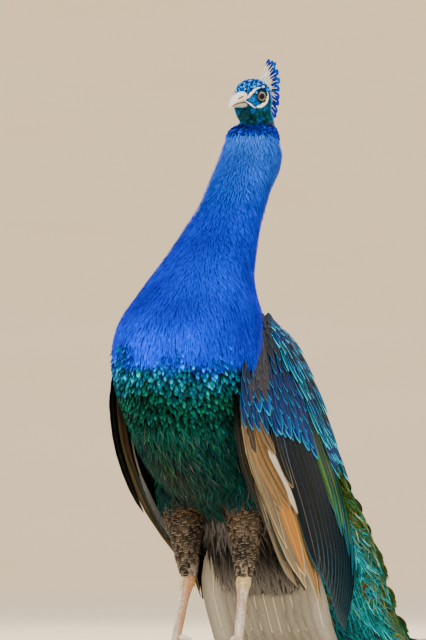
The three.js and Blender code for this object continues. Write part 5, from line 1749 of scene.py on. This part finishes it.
# Scale-like feathers over the root of the train, bronze green with dark edges, longer towards the tips.
roots = []
share = 0.005
row = 0
while share < 0.27:
    half_width = drape.width(share)
    count = max(5, int(2 * half_width / (11 + 26 * share)))
    for v in (np.arange(count) + 0.5 * (row % 2)) / count * 2 - 1:
        roots.append((share, v, 7.5 + 20 * share, 22 + 60 * share))
    share += 0.0085 + 0.03 * share
    row += 1
roots = np.array(roots)
t = np.linspace(0, 1, 6)[None, :]
s = roots[:, :1] + turn.normal(0, 0.003, (len(roots), 1)) + roots[:, 3:] * t / drape.length
path = drape.at(s, roots[:, 1:2] * drape.width(s) + turn.normal(0, 1, (len(roots), 1)), -2.5 + 5.5 * t)
points, flat = vanes(
    path, drape.up(s), taper([0.5, 0.85, 1, 0.95, 0.7, 0.2], roots[:, 2]), columns=5, cup=0.25,
    roll=turn.normal(0, 0.08, len(roots))
)
tone = blend(colour("#7A6A22"), colour("#0F7A50"), np.clip(turn.uniform(0, 0.6, len(roots)) + 1.6 * roots[:, 0], 0, 1))
centre = by_row([0.5, 0.7, 1, 1.1, 1.1, 1.0])
saddle_scale = plumage("bronze saddle scales", metal=0.5, rough=0.33, barb=0.3, rim_width=0.28, shaft=0.03, lines=10)
spot = train_spots(roots[:, 0], roots[:, 1])
feathers(
    "train_saddle_scales", points, flat, spot, shades(tone, 0.2, 303)[:, None, None] * centre, saddle_scale,
    rim=colour("#0C1A12"), patch=0.02
)

# ---------------------------------------------------------------- legs and feet
# Bare shanks and toes: one skin for each leg, of chalky, dull horn over bone, with overlapping scutes down the
# front and small scales round it. Each toe ends in a claw, and a spur stands back from each shank.
SHANK = [
    (0, 9.8, 10.4), (0.07, 10.8, 11.8), (0.17, 7.9, 9.2), (0.5, 6.2, 7.6), (0.8, 6.4, 7.8), (0.94, 8, 9),
    (1, 7.4, 8.4)
]
# Name, turn outward from straight ahead in degrees, length, radius.
TOES = [("middle", 0, 68, 6.4), ("inner", 34, 47, 5.6), ("outer", -33, 50, 5.4), ("hind", 168, 22, 4.2)]
FOOT_OUT, ANKLE_UP, SPUR_UP, CLAW_LENGTH = 47, 14, 54, 13
SOLE, SCALED_SHANK, HEEL_LIFT = 0.3, 126, 1.5
leg_stuff, shader = new_material("scaled leg skin")
tint = add(leg_stuff, "Attribute", attribute_name="tint")
where = add(leg_stuff, "TexCoord")
grain = add(leg_stuff, "TexNoise", {"Vector": where.outputs["Object"], "Scale": 300.0, "Detail": 5.0})
worn = add(leg_stuff, "MapRange", {"Value": grain, 1: 0.3, 2: 0.7, 3: 0.6, 4: 1.15})
toned = add(leg_stuff, "VectorMath", {0: tint, "Scale": worn}, operation="SCALE")
pores = add(leg_stuff, "Bump", {"Strength": 0.3, "Distance": 0.0003, "Height": grain})
settle(
    leg_stuff, shader,
    {"Base Color": toned, "Roughness": 0.46, "Normal": pores, "Subsurface Weight": 0.06, "Subsurface Scale": 0.002}
)
# Claws and spurs are dense horn with a faint streak: dark and a little glossy, and pale and duller.
streaks = {"Detail": 3.0, "Distortion": 0.8}
claw_stuff = mottled("dark claw horn", "#2A211A", "#5E5041", 0.35, {"Scale": 380.0, **streaks})
spur_stuff = mottled("pale spur horn", "#B8A994", "#E3DACB", 0.4, {"Scale": 300.0, **streaks})


def about_foot(points, foot, turn):
    """From a toe's own axes, ahead being -Y, to the bird's."""
    x = points[..., 0] * math.cos(turn) - points[..., 1] * math.sin(turn)
    y = points[..., 0] * math.sin(turn) + points[..., 1] * math.cos(turn)
    return np.stack([x, y, points[..., 2]], -1) + foot


def leg_tone(points, name):
    """The colour of the bare leg: chalky white in front, pinkish round the joints, tan on the inner side, most on the
    right leg, and greyer near the ground.
    """
    side = SIDES[name]
    wander = ripple(points, 11, 41)
    tone = blend(colour("#BFB5A6"), colour("#9C6F60"), ease(-0.1, 0.7, wander) * 0.6)
    tone = blend(tone, colour("#B8A266"), ease(116, 128, points[:, 2]) * 0.85)
    flank = points[:, 0] - side * 46
    tan = ease(0, 5, flank if name == "right" else -flank) * ease(20, 40, points[:, 2])
    tone = blend(tone, colour("#A8703E"), tan * (0.75 if name == "right" else 0.3))
    tone = blend(tone, colour("#7E7264"), ease(22, 6, points[:, 2]) * 0.55)
    return tone


for name, side in SIDES.items():
    foot = np.array([side * FOOT_OUT, STEP[name], 0.0])
    heel = np.array([side * HEEL[0], HEEL[1], HEEL[2] + HEEL_LIFT])
    ankle = foot + (0, 0, ANKLE_UP)
    shares = np.linspace(0, 1, 44)
    halves = smooth(SHANK, shares)
    a = circle(28)
    middle = heel + (ankle - heel) * shares[:, None]
    ring = np.stack([np.cos(a), np.sin(a), 0 * a], -1)
    shank = middle[:, None] + ring * np.stack([halves[:, 0], halves[:, 1], 0 * shares], -1)[:, None]
    pads = np.stack([foot + (0, 0, z) + ring * (r, r, 0) for z, r in ((0.4, 8.0), (2.5, 8.6), (8, 8), (16, 7.6))])
    parts = [tube(shank), tube(pads[::-1])]
    for toe, turned, length, radius in TOES:
        turned = math.radians(-side * turned)
        shares = np.linspace(0, 1, 36)
        size = radius * (1 - 0.35 * shares) * (0.99 - 0.09 * np.cos(math.pi * 5 * shares))
        size *= np.sqrt(np.clip(1.02 - ease(0.93, 1.0, shares) * 0.5, 0, 1))
        toe_ring = np.stack(
            [
                size[:, None] * np.cos(a), np.broadcast_to(-shares[:, None] * length, (36, 28)),
                np.maximum(0.86 * size[:, None] + size[:, None] * np.sin(a), 0.4)
            ],
            -1
        )
        points, faces = tube(about_foot(toe_ring, foot, turned))
        parts.append((points, [f[:, ::-1] for f in faces]))
    leg_mesh = grown_together("rough leg", parts, 0.0012, 6)
    leg_points = coordinates(leg_mesh)
    leg_points[:, 2] = np.maximum(leg_points[:, 2], SOLE)
    set_points(leg_mesh, leg_points)
    paint(leg_mesh, "tint", leg_tone(leg_points, name) * 0.72)
    leg = show(f"leg_{name}", leg_mesh, leg_stuff)
    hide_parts(f"shank_{name}", f"foot_{name}", *(f"toe_{name}_{toe[0]}" for toe in TOES))
    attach(leg, "root")
    leg_tris, _ = triangles_of(leg_mesh)
    leg_normals = normals_of(leg_points, leg_tris)
    leg_tree = BVHTree.FromPolygons(leg_points.tolist(), leg_tris.tolist(), all_triangles=True)

    # Each scale: its middle, the way it points, half width and half length.
    turn = np.random.default_rng(400 + side)
    plates = []
    down = unit(ankle - heel)
    for h in np.arange(4, 122, 5.2):
        at = heel + down * h
        for k, spin in enumerate((-0.4, 0.4)):
            size = smooth(SHANK, np.array([h / SCALED_SHANK]))[0]
            out_way = np.array([math.sin(spin), -math.cos(spin), 0])
            plates.append((at + out_way * size.mean() + down * 2.6 * (k - 0.5), out_way, down, 3.9, 3.7))
    for i, h in enumerate(np.arange(3, 124, 2.9)):
        at = heel + down * h
        size = smooth(SHANK, np.array([h / SCALED_SHANK]))[0]
        for spin in np.linspace(0.95, 2 * math.pi - 0.95, 12) + 0.2 * (i % 2):
            out_way = np.array([math.sin(spin), -math.cos(spin), 0])
            plates.append((at + out_way * size.mean(), out_way, down, 1.8, 1.9))
    for toe, turned, length, radius in TOES:
        turned = math.radians(-side * turned)
        ahead_way = about_foot(np.array([0, -1.0, 0]), 0 * foot, turned)
        across_way = np.cross(ahead_way, (0, 0, 1.0))
        for h in np.arange(7 if toe != "hind" else 5, length, 3.1):
            size = radius * (1 - 0.35 * h / length)
            plates.append(
                (foot + ahead_way * h + (0, 0, size * 1.9), np.array([0, 0, 1.0]), ahead_way, size * 0.62, 2.1)
            )
            for hand in (-1, 1):
                out_way = unit(across_way * hand + (0, 0, 0.5))
                plates.append(
                    (
                        foot + ahead_way * (h + 1.5) + (0, 0, size) + out_way * size, out_way, ahead_way, size * 0.36,
                        1.9
                    )
                )
    rows_, columns_ = np.linspace(-1, 1, 5), np.linspace(-1, 1, 5)
    r, c = np.meshgrid(rows_, columns_, indexing="ij")
    middle = np.array([p[0] for p in plates])
    out_way = np.array([p[1] for p in plates])
    run = np.array([p[2] for p in plates])
    hw, hl = np.array([p[3] for p in plates]), np.array([p[4] for p in plates])
    cross = unit(np.cross(out_way, run))
    grid = middle[:, None, None]
    grid = grid + cross[:, None, None] * (c * (1 - 0.22 * r**2))[None, ..., None] * hw[:, None, None, None]
    grid = grid + run[:, None, None] * (r * (1 - 0.25 * c**2))[None, ..., None] * hl[:, None, None, None]
    found = [leg_tree.find_nearest(p) for p in grid.reshape(-1, 3).tolist()]
    on = np.array([tuple(f[0]) for f in found]).reshape(grid.shape)
    facing = np.array([tuple(f[1]) for f in found]).reshape(grid.shape)
    edge = np.maximum(np.abs(r), np.abs(c)) ** 4
    rise = (
        0.42 * (1 - edge) + 0.22 * (r + 1) / 2 - 0.12
    )[None, ..., None] * np.clip(hw / 2.4, 0.7, 1.3)[:, None, None, None]
    points = on + facing * rise
    points[..., 2] = np.maximum(points[..., 2], SOLE)
    flat = np.stack([(c + 1) / 2, (r + 1) / 2], -1)
    tone = leg_tone(middle, name)[:, None, None] * (1 - 0.3 * edge)[None, ..., None]
    tone = tone * turn.uniform(0.88, 1.08, (len(plates), 1, 1, 1))
    spot = np.stack([0.1 + 0.8 * turn.uniform(0, 1, len(plates)), np.clip(middle[:, 2] / 140, 0, 1) * 0.9 + 0.05], -1)
    feathers(f"leg_scales_{name}", points[:, :, ::-1], flat, spot, tone, leg_stuff)

    claws = []
    a = circle(20)
    for toe, turned, length, radius in TOES:
        turned = math.radians(-side * turned)
        size = 3.4 * (radius / 6.4) ** 0.5
        shares = np.linspace(-0.12, 1, 16)
        scale, height = smooth(
            [(-0.12, 1, 4.2), (0, 1, 4.6), (0.35, 0.85, 5.2), (0.7, 0.5, 3.6), (1, 0.14, 0.9)], shares
        ).T
        z = np.maximum((height * radius / 6.4)[:, None] + size * scale[:, None] * np.sin(a), SOLE)
        claw = np.stack(
            [
                size * 0.8 * scale[:, None] * np.cos(a),
                np.broadcast_to(-(length + 0.2 + shares * CLAW_LENGTH)[:, None], z.shape), z
            ],
            -1
        )
        points, faces = tube(about_foot(claw, foot, turned))
        claws.append((points, [f[:, ::-1] for f in faces]))
    points, faces = merge(claws)
    claw_set = show(f"claws_{name}", make_mesh(f"claws_{name}", place(points), faces), claw_stuff)
    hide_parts(*(f"claw_{name}_{toe[0]}" for toe in TOES))
    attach(claw_set, "root")

    # The spur stands back and inward from the shank.
    root_ = ankle + (heel - (0, 0, HEEL_LIFT) - ankle) * (SPUR_UP - ANKLE_UP) / (HEEL[2] - ANKLE_UP)
    outward, across = np.array([-side * 0.86, 0.5, 0]), np.array([0.5, side * 0.86, 0])
    shares = np.linspace(0.1, 1, 14)
    scale = smooth([(0.1, 1.1), (0.2, 1), (0.5, 0.72), (0.8, 0.4), (1, 0.08)], shares)[:, 0] * 5
    points = root_ + outward * (shares * 23)[:, None, None] + across * (scale[:, None] * np.cos(a))[..., None]
    points = points + np.array([0, 0, 1.0]) * (scale[:, None] * np.sin(a) - 3 * shares[:, None] ** 2)[..., None]
    points, faces = tube(points)
    spur = show(f"spur_horn_{name}", make_mesh(f"spur_horn_{name}", place(points), faces), spur_stuff)
    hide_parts(f"spur_{name}")
    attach(spur, "root")
